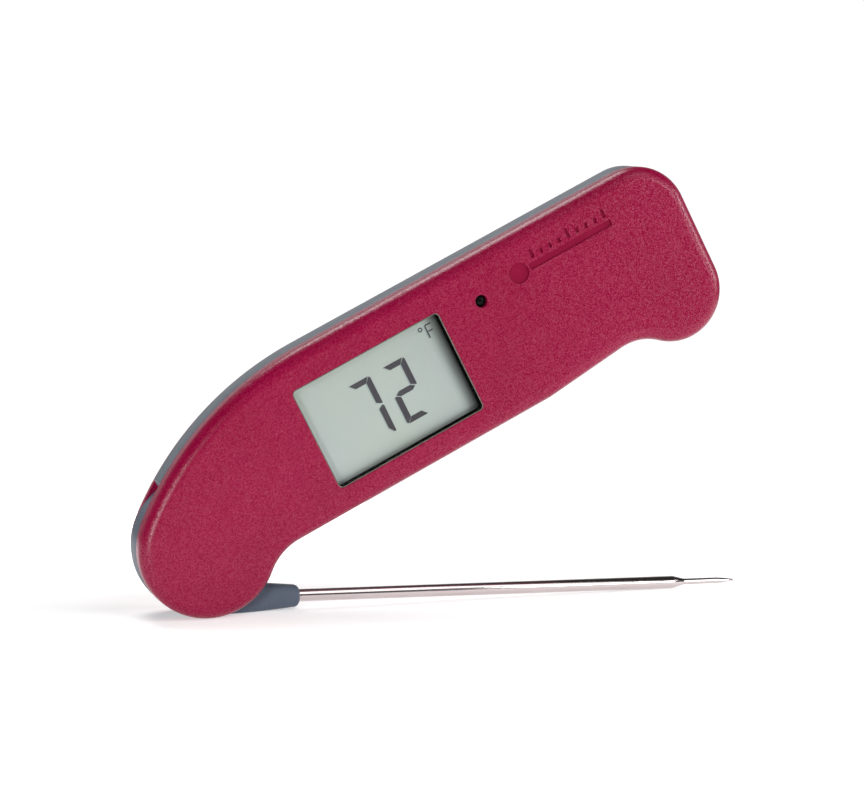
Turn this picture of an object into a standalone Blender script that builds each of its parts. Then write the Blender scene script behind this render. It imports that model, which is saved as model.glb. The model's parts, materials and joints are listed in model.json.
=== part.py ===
"""Folding-probe pocket meat thermometer, standing on its round end and its probe tip.

The model is in metres with +Z up and the display facing -Y. The origin is on the
ground, below the middle of the whole object. Sizes below are in millimetres, in one
of two flat frames whose origin is the probe's hinge axis:

    handle frame   u runs along the handle to its far end, v towards its spine
    probe frame    s runs along the probe to its tip, n away from the hinge axis

Depth y is the world's own: 0 in the middle of the case, negative at the display.
"""

import math

import bmesh
import bpy
from mathutils import Matrix, Vector

MM = 0.001
COLLECTION = "meat_thermometer"
CUTTERS = "cutters"

# Pose of the two frames, degrees
HANDLE_TILT = 26.97
STOWED_ANGLE = 3.0

# Handle outline: lines and arcs that meet tangentially
ROUND_END_R = 16.4
TOP_V = 31.3
SPINE_START_U = 40.9
FAR_END_U = 140.4
CORNER_R = 12.4
BUMP_R = 12.4
BUMP_CENTRE_V = -0.6
BOTTOM_V = -8.8
BOTTOM_END_U = 89.2
BOTTOM_RISE = 5.1
NOTCH_R = 12.5
WAIST_R = 13.7
ARC_STEP = 9.0

# Case, across its depth
CASE_DEPTH = 19.0
HALF_DEPTH = CASE_DEPTH / 2
PARTING_Y = 3.6
FRONT_EDGE_R = 3.3
REAR_EDGE_R = 5.1
REAR_INSET = 0.4
FACE_THICKNESS = 1.6
SHELL_WALL = 2.0
INNER_FACE_Y = HALF_DEPTH - FACE_THICKNESS
GAP = 0.3

# Grey band that closes the case edge
BAND_HALF = PARTING_Y - GAP
BAND_RECESS = 0.05
BAND_WALL = 2.0
BAND_START_U = -2.5
SEAL_LEDGE = 1.0
SEAL_THICKNESS = 0.5

# Window, display stack and sensor opening
WINDOW_CENTRE = (53.35, 10.4)
WINDOW_SIZE = (39.6, 25.9)
WINDOW_CORNER_R = 1.2
LENS_SIZE = (42.0, 27.6)
GLASS_SIZE = (41.0, 27.0)
HOLDER_SIZE = (45.4, 30.1)
SENSOR_UV = (83.6, 20.5)
SENSOR_HOLE_R = 1.4
LENS_STEP_Y = -9.2

# Probe and its hub
HUB_R = 16.3
HUB_RIM_R = 0.5
HUB_CLEARANCE_R = 17.0
TRUNNION_R = 4.5
TRUNNION_Y = (-5.4, 7.2)
BORE_R = 4.8
SEAL_BORE_R = 6.6
PROBE_OFFSET = 12.9
BOOT_END_S = 23.3
BOOT_ROOT_HALF = 4.5
BOOT_END_HALF = 2.5
BOOT_ROOT_DEPTH_HALF = 3.1
BOOT_END_DEPTH_HALF = 2.7
BOOT_EDGE_R = 1.2
SHAFT_R = 1.5
NECK_S = 118.2
NECK_LENGTH = 3.0
TIP_R = 0.7
TIP_S = 134.4
SHAFT_ROOT_S = 11.0
WIRE_R = 0.5
SLOT_END_S = TIP_S + 1.6
SLOT_ROOF_BOOT = -8.7
SLOT_ROOF_SHAFT = -11.0

# Battery, its bay in the rear shell, and the door
BATTERY_R = 5.25
BATTERY_LENGTH = 44.5
BATTERY_U = 81.6
BATTERY_V = 5.6
BATTERY_Y = 2.35
BAY_HALF_V = 6.2
BAY_WALL = 1.2
BAY_U = (78.3, 129.0)
BAY_FLOOR_Y = -3.2
BUTTON_BAY_U = (71.5, 77.1)
BUTTON_BAY_FLOOR_Y = 2.6
DOOR_U = (66.5, 134.5)
DOOR_HALF_V = 7.4
DOOR_CORNER_R = 2.5
DOOR_INNER_Y = 7.9
DOOR_SHELF_Y = 7.0
DOOR_SCREW_U = (68.6, 132.0)
BUTTON_U = 74.3

# Main board
BOARD_FRONT_Y = -2.7
BOARD_REAR_Y = -1.9

# Screws
CASE_SCREWS = ((25.5, 20.5), (25.5, -1.0), (79.5, 24.5), (130.5, 22.5))
BOARD_SCREWS = ((27.0, 12.0), (101.0, 18.5))
CASE_BOSS_R = 2.4
BOARD_BOSS_R = 1.8


# ---------------------------------------------------------------- outline geometry

def arc(centre, radius, start, end):
    """Points on an arc from start to end degrees, both ends included."""
    count = max(1, math.ceil(abs(end - start) / ARC_STEP))
    points = []
    for i in range(count + 1):
        angle = math.radians(start + (end - start) * i / count)
        points.append((centre[0] + radius * math.cos(angle), centre[1] + radius * math.sin(angle)))
    return points


def angle_to(centre, target):
    """Direction in degrees from one point to another."""
    return math.degrees(math.atan2(target[1] - centre[1], target[0] - centre[0]))


def notch_centre(bump):
    """Centre of the finger notch: tangent to the rising bottom line and to the bump."""
    rise = math.radians(BOTTOM_RISE)
    along = Vector((math.cos(rise), math.sin(rise)))
    start = Vector((BOTTOM_END_U, BOTTOM_V)) - NOTCH_R * Vector((-math.sin(rise), math.cos(rise)))
    to_bump = Vector(bump) - start
    middle = to_bump.dot(along)
    across = to_bump.length_squared - middle ** 2
    reach = middle - math.sqrt((NOTCH_R + BUMP_R) ** 2 - across)
    return tuple(start + reach * along)


def outline(inset=0.0):
    """Handle outline, counter-clockwise, moved inwards by inset."""
    pivot = (0.0, 0.0)
    waist_v = BOTTOM_V - WAIST_R
    waist = (math.sqrt((ROUND_END_R + WAIST_R) ** 2 - waist_v ** 2), waist_v)
    bump = (FAR_END_U - BUMP_R, BUMP_CENTRE_V)
    notch = notch_centre(bump)
    corner = (FAR_END_U - CORNER_R, TOP_V - CORNER_R)
    spine_r = (SPINE_START_U ** 2 + TOP_V ** 2 - ROUND_END_R ** 2) / (2 * (TOP_V - ROUND_END_R))
    spine = (SPINE_START_U, TOP_V - spine_r)
    foot_angle = 270.0 - HANDLE_TILT
    half_rise = math.tan(math.radians(BOTTOM_RISE / 2))

    points = arc(pivot, ROUND_END_R - inset, angle_to(spine, pivot), foot_angle)
    points += arc(pivot, ROUND_END_R - inset, foot_angle, 360.0 + angle_to(pivot, waist))[1:]
    points += arc(waist, WAIST_R + inset, angle_to(waist, pivot), 90.0)[1:]
    points.append((BOTTOM_END_U - inset * half_rise, BOTTOM_V + inset))
    points += arc(notch, NOTCH_R + inset, 90.0 + BOTTOM_RISE, angle_to(notch, bump))
    points += arc(bump, BUMP_R - inset, angle_to(bump, notch), 0.0)[1:]
    points += arc(corner, CORNER_R - inset, 0.0, 90.0)
    points += arc(spine, spine_r - inset, 90.0, angle_to(spine, pivot))[:-1]
    return points


def rectangle(centre, size, corner_r=0.0):
    """Rectangle round a centre, with round corners if corner_r is given."""
    half_u = size[0] / 2 - corner_r
    half_v = size[1] / 2 - corner_r
    signs = ((1, 1), (-1, 1), (-1, -1), (1, -1))
    points = []
    for quarter, (su, sv) in enumerate(signs):
        middle = (centre[0] + su * half_u, centre[1] + sv * half_v)
        if corner_r == 0.0:
            points.append(middle)
            continue
        for i in range(4):
            angle = math.radians(90.0 * quarter + 30.0 * i)
            points.append((middle[0] + corner_r * math.cos(angle), middle[1] + corner_r * math.sin(angle)))
    return points


def slot_region(wall):
    """Space that the folded probe sweeps out of the case, grown by a wall."""
    start = -2.0
    mouth = -40.0
    end = SLOT_END_S + wall
    roof_boot = SLOT_ROOF_BOOT + wall
    roof_shaft = SLOT_ROOF_SHAFT + wall
    stowed = (
        (start, mouth),
        (end, mouth),
        (end, roof_shaft),
        (BOOT_END_S + 5.2, roof_shaft),
        (BOOT_END_S + 3.2, roof_boot),
        (start, roof_boot),
    )
    turn = math.radians(STOWED_ANGLE)
    points = []
    for s, n in stowed:
        points.append((s * math.cos(turn) - n * math.sin(turn), s * math.sin(turn) + n * math.cos(turn)))
    return points


# ---------------------------------------------------------------- object helpers

def clear_scene():
    """Start from an empty scene with one collection for parts and one for cutters."""
    for obj in list(bpy.data.objects):
        bpy.data.objects.remove(obj, do_unlink=True)
    for name in (COLLECTION, CUTTERS):
        collection = bpy.data.collections.new(name)
        bpy.context.scene.collection.children.link(collection)


def material(name, color, roughness, metallic=0.0, transmission=0.0):
    """Principled material, shared by the parts that use the same name."""
    found = bpy.data.materials.get(name)
    if found:
        return found
    mat = bpy.data.materials.new(name)
    mat.use_nodes = True
    shader = mat.node_tree.nodes["Principled BSDF"]
    shader.inputs["Base Color"].default_value = (*color, 1.0)
    shader.inputs["Roughness"].default_value = roughness
    shader.inputs["Metallic"].default_value = metallic
    shader.inputs["Transmission Weight"].default_value = transmission
    return mat


def add(name, data, parent, mat=None):
    """Link data as a part, or as a cutter when it has no material."""
    obj = bpy.data.objects.new(name, data)
    bpy.data.collections[COLLECTION if mat else CUTTERS].objects.link(obj)
    obj.parent = parent
    if mat:
        data.materials.append(mat)
    else:
        obj.hide_render = True
        obj.display_type = "WIRE"
    return obj


def smooth(mesh):
    """Shade round faces smooth and keep real edges sharp."""
    mesh.shade_smooth()
    mesh.set_sharp_from_angle(angle=math.radians(35.0))


def curve_mesh(curve, name):
    """Mesh of a curve, with its caps welded on."""
    helper = bpy.data.objects.new(name, curve)
    bpy.context.scene.collection.objects.link(helper)
    bpy.context.view_layer.update()
    evaluated = helper.evaluated_get(bpy.context.evaluated_depsgraph_get())
    mesh = bpy.data.meshes.new_from_object(evaluated)
    bpy.data.objects.remove(helper)
    bpy.data.curves.remove(curve)
    bm = bmesh.new()
    bm.from_mesh(mesh)
    bmesh.ops.remove_doubles(bm, verts=bm.verts, dist=0.000001)
    bmesh.ops.dissolve_limit(bm, angle_limit=math.radians(0.5), verts=bm.verts, edges=bm.edges)
    bmesh.ops.recalc_face_normals(bm, faces=bm.faces)
    bm.to_mesh(mesh)
    bm.free()
    mesh.name = name
    return mesh


def plate(name, points, y0, y1, parent, mat=None, edge_r=0.0):
    """Flat outline given depth from y0 to y1, with rounded rims if edge_r is given."""
    curve = bpy.data.curves.new(name, "CURVE")
    curve.dimensions = "2D"
    curve.fill_mode = "BOTH"
    curve.extrude = ((y1 - y0) / 2 - edge_r) * MM
    curve.bevel_depth = edge_r * MM
    curve.bevel_resolution = 2
    curve.offset = -edge_r * MM
    spline = curve.splines.new("POLY")
    spline.points.add(len(points) - 1)
    for point, (u, v) in zip(spline.points, points):
        point.co = (u * MM, v * MM, 0.0, 1.0)
    spline.use_cyclic_u = True
    mesh = curve_mesh(curve, name)
    turn = Matrix.Rotation(math.radians(90.0), 4, "X")
    mesh.transform(Matrix.Translation((0.0, (y0 + y1) / 2 * MM, 0.0)) @ turn)
    smooth(mesh)
    return add(name, mesh, parent, mat)


def block(name, u_range, v_range, y_range, parent, mat=None, bevel=0.0):
    """Box between limits, with bevelled edges if bevel is given."""
    mesh = bpy.data.meshes.new(name)
    bm = bmesh.new()
    bmesh.ops.create_cube(bm, size=1.0)
    ranges = (u_range, y_range, v_range)
    bmesh.ops.scale(bm, vec=[(high - low) * MM for low, high in ranges], verts=bm.verts)
    bm.to_mesh(mesh)
    bm.free()
    obj = add(name, mesh, parent, mat)
    obj.location = [(low + high) / 2 * MM for low, high in ranges]
    if bevel > 0.0:
        modifier = obj.modifiers.new("bevel", "BEVEL")
        modifier.width = bevel * MM
        modifier.segments = 2
    return obj


def turned(name, profile, parent, mat=None, centre=(0.0, 0.0), along="Y", steps=24, closed=False):
    """Turned shape: profile is (radius, height) from the top down its outer side.

    Height runs along +Y through the centre given in the parent's flat frame, or along
    +X when along is "X". A closed profile is a ring that stays off the axis.
    """
    mesh = bpy.data.meshes.new(name)
    edges = [(i, i + 1) for i in range(len(profile) - 1)]
    if closed:
        edges.append((len(profile) - 1, 0))
    mesh.from_pydata([(radius * MM, 0.0, height * MM) for radius, height in profile], edges, [])
    obj = add(name, mesh, parent, mat)
    screw = obj.modifiers.new("turn", "SCREW")
    screw.angle = math.tau
    screw.steps = steps
    screw.render_steps = steps
    screw.use_smooth_shade = True
    screw.use_merge_vertices = True
    screw.merge_threshold = 0.00001
    if along == "Y":
        obj.rotation_euler = (math.radians(-90.0), 0.0, 0.0)
        obj.location = (centre[0] * MM, 0.0, centre[1] * MM)
    else:
        obj.rotation_euler = (0.0, math.radians(90.0), 0.0)
        obj.location = (0.0, 0.0, centre[1] * MM)
    return obj


def rod(name, radius, y0, y1, parent, mat=None, centre=(0.0, 0.0), steps=20):
    """Plain cylinder along Y."""
    mesh = bpy.data.meshes.new(name)
    bm = bmesh.new()
    bmesh.ops.create_cone(
        bm, cap_ends=True, segments=steps, radius1=radius * MM, radius2=radius * MM, depth=(y1 - y0) * MM
    )
    bm.to_mesh(mesh)
    bm.free()
    smooth(mesh)
    obj = add(name, mesh, parent, mat)
    obj.rotation_euler = (math.radians(-90.0), 0.0, 0.0)
    obj.location = (centre[0] * MM, (y0 + y1) / 2 * MM, centre[1] * MM)
    return obj


def ring(name, inner_r, outer_r, y0, y1, parent, mat=None, centre=(0.0, 0.0)):
    """Flat ring round Y."""
    profile = ((inner_r, y1), (outer_r, y1), (outer_r, y0), (inner_r, y0))
    return turned(name, profile, parent, mat, centre, closed=True)


def wire(name, points, radius, parent, mat=None):
    """Round wire through points given as (u, y, v)."""
    curve = bpy.data.curves.new(name, "CURVE")
    curve.dimensions = "3D"
    curve.bevel_depth = radius * MM
    curve.bevel_resolution = 2
    curve.use_fill_caps = True
    spline = curve.splines.new("POLY")
    spline.points.add(len(points) - 1)
    for point, (u, y, v) in zip(spline.points, points):
        point.co = (u * MM, y * MM, v * MM, 1.0)
    return add(name, curve_mesh(curve, name), parent, mat)


def boolean(target, tool, operation="DIFFERENCE"):
    """Cut, join or intersect a part with a tool object."""
    modifier = target.modifiers.new(tool.name, "BOOLEAN")
    modifier.operation = operation
    modifier.solver = "EXACT"
    modifier.object = tool


def bay(name, wall, y0, y1, parent, mat=None):
    """Electronics space inside the band, moved inwards by wall all round."""
    body = plate(name, outline(BAND_RECESS + wall), y0, y1, parent, mat)
    hub = rod(name + "_hub", HUB_CLEARANCE_R + wall, y0 - 1, y1 + 1, parent, steps=48)
    slot = plate(name + "_slot", slot_region(wall), y0 - 1, y1 + 1, parent)
    start = block(name + "_start", (-30, BAND_START_U), (-30, 60), (y0 - 1, y1 + 1), parent)
    boolean(body, hub)
    boolean(body, slot)
    boolean(body, start)
    return body


# ---------------------------------------------------------------- case

def make_front_shell(handle, red):
    """Display side of the case, open at the back."""
    mirror_y = HALF_DEPTH - 2 * PARTING_Y
    shell = plate("front_shell", outline(), -HALF_DEPTH, mirror_y, handle, red, FRONT_EDGE_R)
    back = block("front_cut_back", (-40, 180), (-60, 80), (-PARTING_Y, HALF_DEPTH), handle)
    boolean(shell, back)
    boolean(shell, bay("front_cut_bay", SHELL_WALL, -INNER_FACE_Y, 0.0, handle))
    for i, place in enumerate(CASE_SCREWS):
        post = rod(f"front_post_{i}", CASE_BOSS_R, -INNER_FACE_Y - 0.3, 0.9, handle, centre=place)
        boolean(shell, post, "UNION")
    post_y = (-INNER_FACE_Y - 0.3, BOARD_FRONT_Y - GAP)
    for i, place in enumerate(BOARD_SCREWS):
        boolean(shell, rod(f"board_post_{i}", BOARD_BOSS_R, *post_y, handle, centre=place), "UNION")
    for i, place in enumerate(CASE_SCREWS):
        boolean(shell, rod(f"front_hole_{i}", 1.25, -6.4, 2.0, handle, centre=place, steps=16))
    for i, place in enumerate(BOARD_SCREWS):
        boolean(shell, rod(f"board_hole_{i}", 1.0, -6.4, 0.0, handle, centre=place, steps=16))
    window = rectangle(WINDOW_CENTRE, WINDOW_SIZE, WINDOW_CORNER_R)
    boolean(shell, plate("front_cut_window", window, -12, -6, handle))
    boolean(shell, rod("front_cut_sensor", SENSOR_HOLE_R, -12, -6, handle, centre=SENSOR_UV))
    boolean(shell, rod("front_cut_bore", BORE_R, -7.6, 0, handle, steps=32))
    boolean(shell, rod("front_cut_seal", SEAL_BORE_R, -4.9, 0, handle, steps=32))
    boolean(shell, block("front_cut_lead", (3, 20), (-1, 1), (-7.5, -5.6), handle))


def make_rear_shell(handle, red):
    """Back of the case, with the battery bay moulded in."""
    mirror_y = 2 * PARTING_Y - HALF_DEPTH
    middle_u = (DOOR_U[0] + DOOR_U[1]) / 2
    door_size = (DOOR_U[1] - DOOR_U[0], 2 * DOOR_HALF_V)
    v_hole = (BATTERY_V - BAY_HALF_V, BATTERY_V + BAY_HALF_V)
    v_wall = (v_hole[0] - BAY_WALL, v_hole[1] + BAY_WALL)

    shell = plate("rear_shell", outline(REAR_INSET), mirror_y, HALF_DEPTH, handle, red, REAR_EDGE_R)
    boolean(shell, block("rear_cut_front", (-40, 180), (-60, 80), (-HALF_DEPTH, PARTING_Y), handle))
    boolean(shell, bay("rear_cut_bay", SHELL_WALL, 0.0, 6.0, handle))
    boolean(shell, bay("rear_cut_bay_deep", SHELL_WALL + 1.6, 0.0, INNER_FACE_Y, handle))

    middle = (middle_u, BATTERY_V)
    seat = rectangle(middle, (door_size[0] + 2.6, door_size[1] + 2.6), DOOR_CORNER_R)
    boolean(shell, plate("rear_door_seat", seat, 5.8, INNER_FACE_Y + 0.3, handle), "UNION")
    wall_u = (BAY_U[0] - BAY_WALL, BAY_U[1] + BAY_WALL)
    boolean(shell, block("rear_bay_box", wall_u, v_wall, (BAY_FLOOR_Y - 1, 6.2), handle), "UNION")
    wall_u = (BUTTON_BAY_U[0] - BAY_WALL, BAY_U[0])
    boolean(shell, block("rear_button_box", wall_u, v_wall, (BUTTON_BAY_FLOOR_Y - 1, 6.2), handle), "UNION")
    for i, place in enumerate(CASE_SCREWS):
        boolean(shell, rod(f"rear_post_{i}", 3.0, 1.2, INNER_FACE_Y + 0.3, handle, centre=place), "UNION")
    for i, u in enumerate(DOOR_SCREW_U):
        boolean(shell, rod(f"door_post_{i}", 2.2, 3.2, 6.2, handle, centre=(u, BATTERY_V)), "UNION")

    recess = rectangle(middle, (door_size[0] + 2 * GAP, door_size[1] + 2 * GAP), DOOR_CORNER_R)
    boolean(shell, plate("rear_cut_door", recess, DOOR_SHELF_Y, 12, handle))
    boolean(shell, block("rear_cut_battery", BAY_U, v_hole, (BAY_FLOOR_Y, 12), handle))
    boolean(shell, block("rear_cut_button", BUTTON_BAY_U, v_hole, (BUTTON_BAY_FLOOR_Y, 12), handle))
    boolean(shell, rod("rear_cut_stem", 1.6, 0, 4, handle, centre=(BUTTON_U, BATTERY_V)))
    for i, place in enumerate(CASE_SCREWS):
        boolean(shell, rod(f"rear_hole_{i}", 1.3, 0, 12, handle, centre=place, steps=16))
        boolean(shell, rod(f"rear_counterbore_{i}", 2.2, 6.7, 12, handle, centre=place))
    for i, u in enumerate(DOOR_SCREW_U):
        boolean(shell, rod(f"door_hole_{i}", 1.1, 4.0, 12, handle, centre=(u, BATTERY_V), steps=16))
    boolean(shell, rod("rear_cut_bore", BORE_R, 0, 7.6, handle, steps=32))
    boolean(shell, rod("rear_cut_seal", SEAL_BORE_R, 0, 4.9, handle, steps=32))


def make_band(handle, grey, rubber):
    """Grey band between the shells, and the two case seals on its ledges."""
    band = bay("spine_band", 0.0, -BAND_HALF, BAND_HALF, handle, grey)
    boolean(band, bay("band_cut_inside", BAND_WALL, -6, 6, handle))
    ledge_y = BAND_HALF - SEAL_THICKNESS - GAP
    for side, low, high in (("front", -6.0, -ledge_y), ("rear", ledge_y, 6.0)):
        boolean(band, bay(f"band_cut_ledge_{side}", SEAL_LEDGE, low, high, handle))
    for side, low in (("front", -BAND_HALF), ("rear", BAND_HALF - SEAL_THICKNESS)):
        high = low + SEAL_THICKNESS
        seal = bay(f"case_seal_{side}", SEAL_LEDGE + GAP, low, high, handle, rubber)
        boolean(seal, bay(f"seal_cut_{side}", BAND_WALL, low - 1, high + 1, handle))


# ---------------------------------------------------------------- display and board

def frame_ring(name, outer, inner, y_range, parent, mat):
    """Rectangular frame round the window's centre."""
    y0, y1 = y_range
    body = plate(name, rectangle(WINDOW_CENTRE, outer, 1.0), y0, y1, parent, mat)
    hole = plate(name + "_hole", rectangle(WINDOW_CENTRE, inner), y0 - 1, y1 + 1, parent)
    boolean(body, hole)


def make_display(handle, mats):
    """Lens, its seal, the two display glasses, their holder, backlight and contact strips."""
    lens = plate("display_lens", rectangle(WINDOW_CENTRE, LENS_SIZE, 1.0), -7.6, -6.7, handle, mats["clear"])
    step = rectangle(WINDOW_CENTRE, (WINDOW_SIZE[0] - 2 * GAP, WINDOW_SIZE[1] - 2 * GAP), 1.0)
    boolean(lens, plate("lens_step", step, LENS_STEP_Y, -7.1, handle), "UNION")
    seal_inner = (LENS_SIZE[0] + 2 * GAP, LENS_SIZE[1] + 2 * GAP)
    frame_ring("lens_seal", HOLDER_SIZE, seal_inner, (-7.6, -6.7), handle, mats["rubber"])
    glass = rectangle(WINDOW_CENTRE, GLASS_SIZE)
    plate("lcd_front_glass", glass, -6.3, -5.6, handle, mats["lcd"])
    plate("lcd_rear_glass", glass, -5.3, -4.6, handle, mats["lcd"])
    holder_inner = (GLASS_SIZE[0] + 2 * GAP, GLASS_SIZE[1] + 2 * GAP)
    frame_ring("lcd_holder", HOLDER_SIZE, holder_inner, (-6.4, -3.0), handle, mats["white"])
    centre_u, centre_v = WINDOW_CENTRE
    half_u = GLASS_SIZE[0] / 2
    half_v = GLASS_SIZE[1] / 2
    strip = 2.0
    for side, v0 in (("upper", centre_v + half_v - strip), ("lower", centre_v - half_v)):
        u_range = (centre_u - half_u + 1, centre_u + half_u - 1)
        block(f"contact_strip_{side}", u_range, (v0, v0 + strip), (-4.3, -3.0), handle, mats["pink"])
    u_range = (centre_u - half_u, centre_u + half_u)
    v_range = (centre_v - half_v + strip + GAP, centre_v + half_v - strip - GAP)
    block("backlight_panel", u_range, v_range, (-4.2, -3.0), handle, mats["white"])


def make_board(handle, mats):
    """Main board with its cut-outs, chips, sensors and screws."""
    rear = BOARD_REAR_Y + GAP
    bay_left = BAY_U[0] - BAY_WALL - 0.4
    bay_top = BATTERY_V + BAY_HALF_V + BAY_WALL + 0.4
    low_u = 21.5
    high_u = 128.0
    low_v = -4.5
    high_v = 26.5
    points = (
        (low_u, low_v),
        (bay_left, low_v),
        (bay_left, bay_top),
        (high_u, bay_top),
        (high_u, high_v),
        (low_u + 5.5, high_v),
        (low_u, high_v - 3.0),
    )
    board = plate("main_board", points, BOARD_FRONT_Y, BOARD_REAR_Y, handle, mats["board"])
    for i, place in enumerate(CASE_SCREWS):
        boolean(board, rod(f"board_notch_{i}", CASE_BOSS_R + 0.4, -5, 0, handle, centre=place))
    for i, place in enumerate(BOARD_SCREWS):
        boolean(board, rod(f"board_screw_hole_{i}", 1.2, -5, 0, handle, centre=place, steps=16))
        make_screw(f"board_screw_{i + 1}", place, rear, 0.8, 1.5, 4.2, 0.7, handle, mats["steel"])
    block("processor_chip", (44, 54), (6, 16), (rear, rear + 1.2), handle, mats["chip"], 0.2)
    block("converter_chip", (31.5, 37), (1, 6), (rear, rear + 1.0), handle, mats["chip"], 0.2)
    block("motion_sensor_chip", (110, 113), (17, 20), (rear, rear + 0.9), handle, mats["chip"], 0.15)
    u_range = (BUTTON_U - 2.0, BUTTON_U + 2.0)
    v_range = (BATTERY_V - 2.0, BATTERY_V + 2.0)
    block("settings_switch", u_range, v_range, (rear, 0.5), handle, mats["chip"], 0.2)
    sensor_u, sensor_v = SENSOR_UV
    front = BOARD_FRONT_Y - GAP
    u_range = (sensor_u - 1.2, sensor_u + 1.2)
    v_range = (sensor_v - 1.2, sensor_v + 1.2)
    block("light_sensor_chip", u_range, v_range, (front - 1.0, front), handle, mats["chip"], 0.15)
    profile = ((0.0, -4.3), (1.6, -4.3), (1.6, -7.5), (1.05, -7.7), (1.05, -9.1), (0.0, -9.1))
    turned("light_pipe", profile, handle, mats["smoke"], SENSOR_UV, steps=20)


def make_screw(name, place, seat_y, head_depth, head_r, length, shank_r, parent, mat):
    """Cross-head screw whose head sits on seat_y and faces the rear."""
    top = seat_y + head_depth
    profile = (
        (0.0, top),
        (head_r - 0.25, top),
        (head_r, top - 0.25),
        (head_r, seat_y),
        (shank_r, seat_y),
        (shank_r, seat_y - length + 0.5),
        (0.0, seat_y - length),
    )
    screw = turned(name, profile, parent, mat, place, steps=16)
    depth = (top - head_depth * 0.6, top + 1)
    u, v = place
    for side, half_u, half_v in (("u", 0.6, 0.16), ("v", 0.16, 0.6)):
        u_range = (u - half_u * head_r, u + half_u * head_r)
        v_range = (v - half_v * head_r, v + half_v * head_r)
        boolean(screw, block(f"{name}_slot_{side}", u_range, v_range, depth, parent))


# ---------------------------------------------------------------- battery and door

def make_battery(handle, mats):
    """AAA cell with its spring and plate contacts."""
    end = BATTERY_U + BATTERY_LENGTH
    profile = (
        (0.0, end),
        (1.9, end),
        (1.9, end - 0.8),
        (BATTERY_R - 0.4, end - 0.8),
        (BATTERY_R, end - 1.2),
        (BATTERY_R, BATTERY_U + 0.3),
        (BATTERY_R - 0.3, BATTERY_U),
        (0.0, BATTERY_U),
    )
    cell = turned("battery_cell", profile, handle, mats["battery"], (0.0, BATTERY_V), "X", steps=32)
    cell.location.y = BATTERY_Y * MM
    points = []
    turns = 2.5
    per_turn = 12
    for i in range(int(turns * per_turn) + 1):
        share = i / (turns * per_turn)
        angle = math.tau * i / per_turn
        radius = 3.4 - 1.6 * share
        u = 79.0 + 2.0 * share
        points.append((u, BATTERY_Y + radius * math.cos(angle), BATTERY_V + radius * math.sin(angle)))
    wire("battery_spring", points, 0.25, handle, mats["steel"])
    v_range = (BATTERY_V - 4, BATTERY_V + 4)
    y_range = (BATTERY_Y - 3.5, BATTERY_Y + 4)
    block("battery_plus_contact", (end + 0.4, end + 0.9), v_range, y_range, handle, mats["steel"], 0.1)


def make_door(handle, mats):
    """Battery door with its gasket and two screws."""
    middle_u = (DOOR_U[0] + DOOR_U[1]) / 2
    length = DOOR_U[1] - DOOR_U[0]
    shape = rectangle((middle_u, BATTERY_V), (length, 2 * DOOR_HALF_V), DOOR_CORNER_R - GAP)
    door = plate("battery_door", shape, DOOR_INNER_Y, HALF_DEPTH, handle, mats["red"])
    for i, u in enumerate(DOOR_SCREW_U):
        place = (u, BATTERY_V)
        boolean(door, rod(f"door_clear_{i}", 1.1, 5, 12, handle, centre=place, steps=16))
        boolean(door, rod(f"door_sink_{i}", 1.95, 8.45, 12, handle, centre=place))
        make_screw(f"door_screw_{i + 1}", place, 8.7, 0.65, 1.7, 4.2, 0.8, handle, mats["steel"])
    grip_v = (BATTERY_V - 4.0, BATTERY_V + 4.0)
    for i in range(3):
        u = middle_u + (i - 1) * 3.0
        boolean(door, block(f"door_grip_{i}", (u - 0.6, u + 0.6), grip_v, (9.0, 12), handle))
    low_u = BUTTON_BAY_U[0]
    high_u = BAY_U[1]
    centre = ((low_u + high_u) / 2, BATTERY_V)
    low_y = DOOR_SHELF_Y + GAP
    outer = (high_u - low_u + 1.8, 2 * BAY_HALF_V + 1.8)
    inner = (high_u - low_u + 0.4, 2 * BAY_HALF_V + 0.4)
    gasket = plate("door_gasket", rectangle(centre, outer, 0.8), low_y, low_y + GAP, handle, mats["rubber"])
    boolean(gasket, plate("gasket_hole", rectangle(centre, inner), low_y - 1, low_y + 1, handle))


def make_settings_button(handle, mats):
    """Small button reached with the battery door off."""
    floor = BUTTON_BAY_FLOOR_Y
    profile = (
        (0.0, floor + 2.4),
        (1.9, floor + 2.4),
        (2.2, floor + 2.1),
        (2.2, floor + 0.8),
        (1.2, floor + 0.8),
        (1.2, floor - 1.5),
        (0.0, floor - 1.5),
    )
    turned("settings_button", profile, handle, mats["grey"], (BUTTON_U, BATTERY_V), steps=20)


# ---------------------------------------------------------------- probe

def make_boot(probe):
    """Tapered block round the shaft's root, flush with the bottom of the hub."""
    mesh = bpy.data.meshes.new("hub_boot")
    bm = bmesh.new()
    bmesh.ops.create_cube(bm, size=1.0)
    for vert in bm.verts:
        at_end = vert.co.x > 0
        s = BOOT_END_S if at_end else 0.0
        half_y = BOOT_END_DEPTH_HALF if at_end else BOOT_ROOT_DEPTH_HALF
        half_n = BOOT_END_HALF if at_end else BOOT_ROOT_HALF
        vert.co = Vector((s, math.copysign(half_y, vert.co.y), math.copysign(half_n, vert.co.z))) * MM
    bm.to_mesh(mesh)
    bm.free()
    boot = add("hub_boot", mesh, probe)
    boot.location.z = -PROBE_OFFSET * MM
    bevel = boot.modifiers.new("bevel", "BEVEL")
    bevel.width = BOOT_EDGE_R * MM
    bevel.segments = 3
    boolean(boot, block("hub_boot_trim", (-5, 12), (-HUB_R - 5, -HUB_R), (-5, 5), probe))
    return boot


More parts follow.
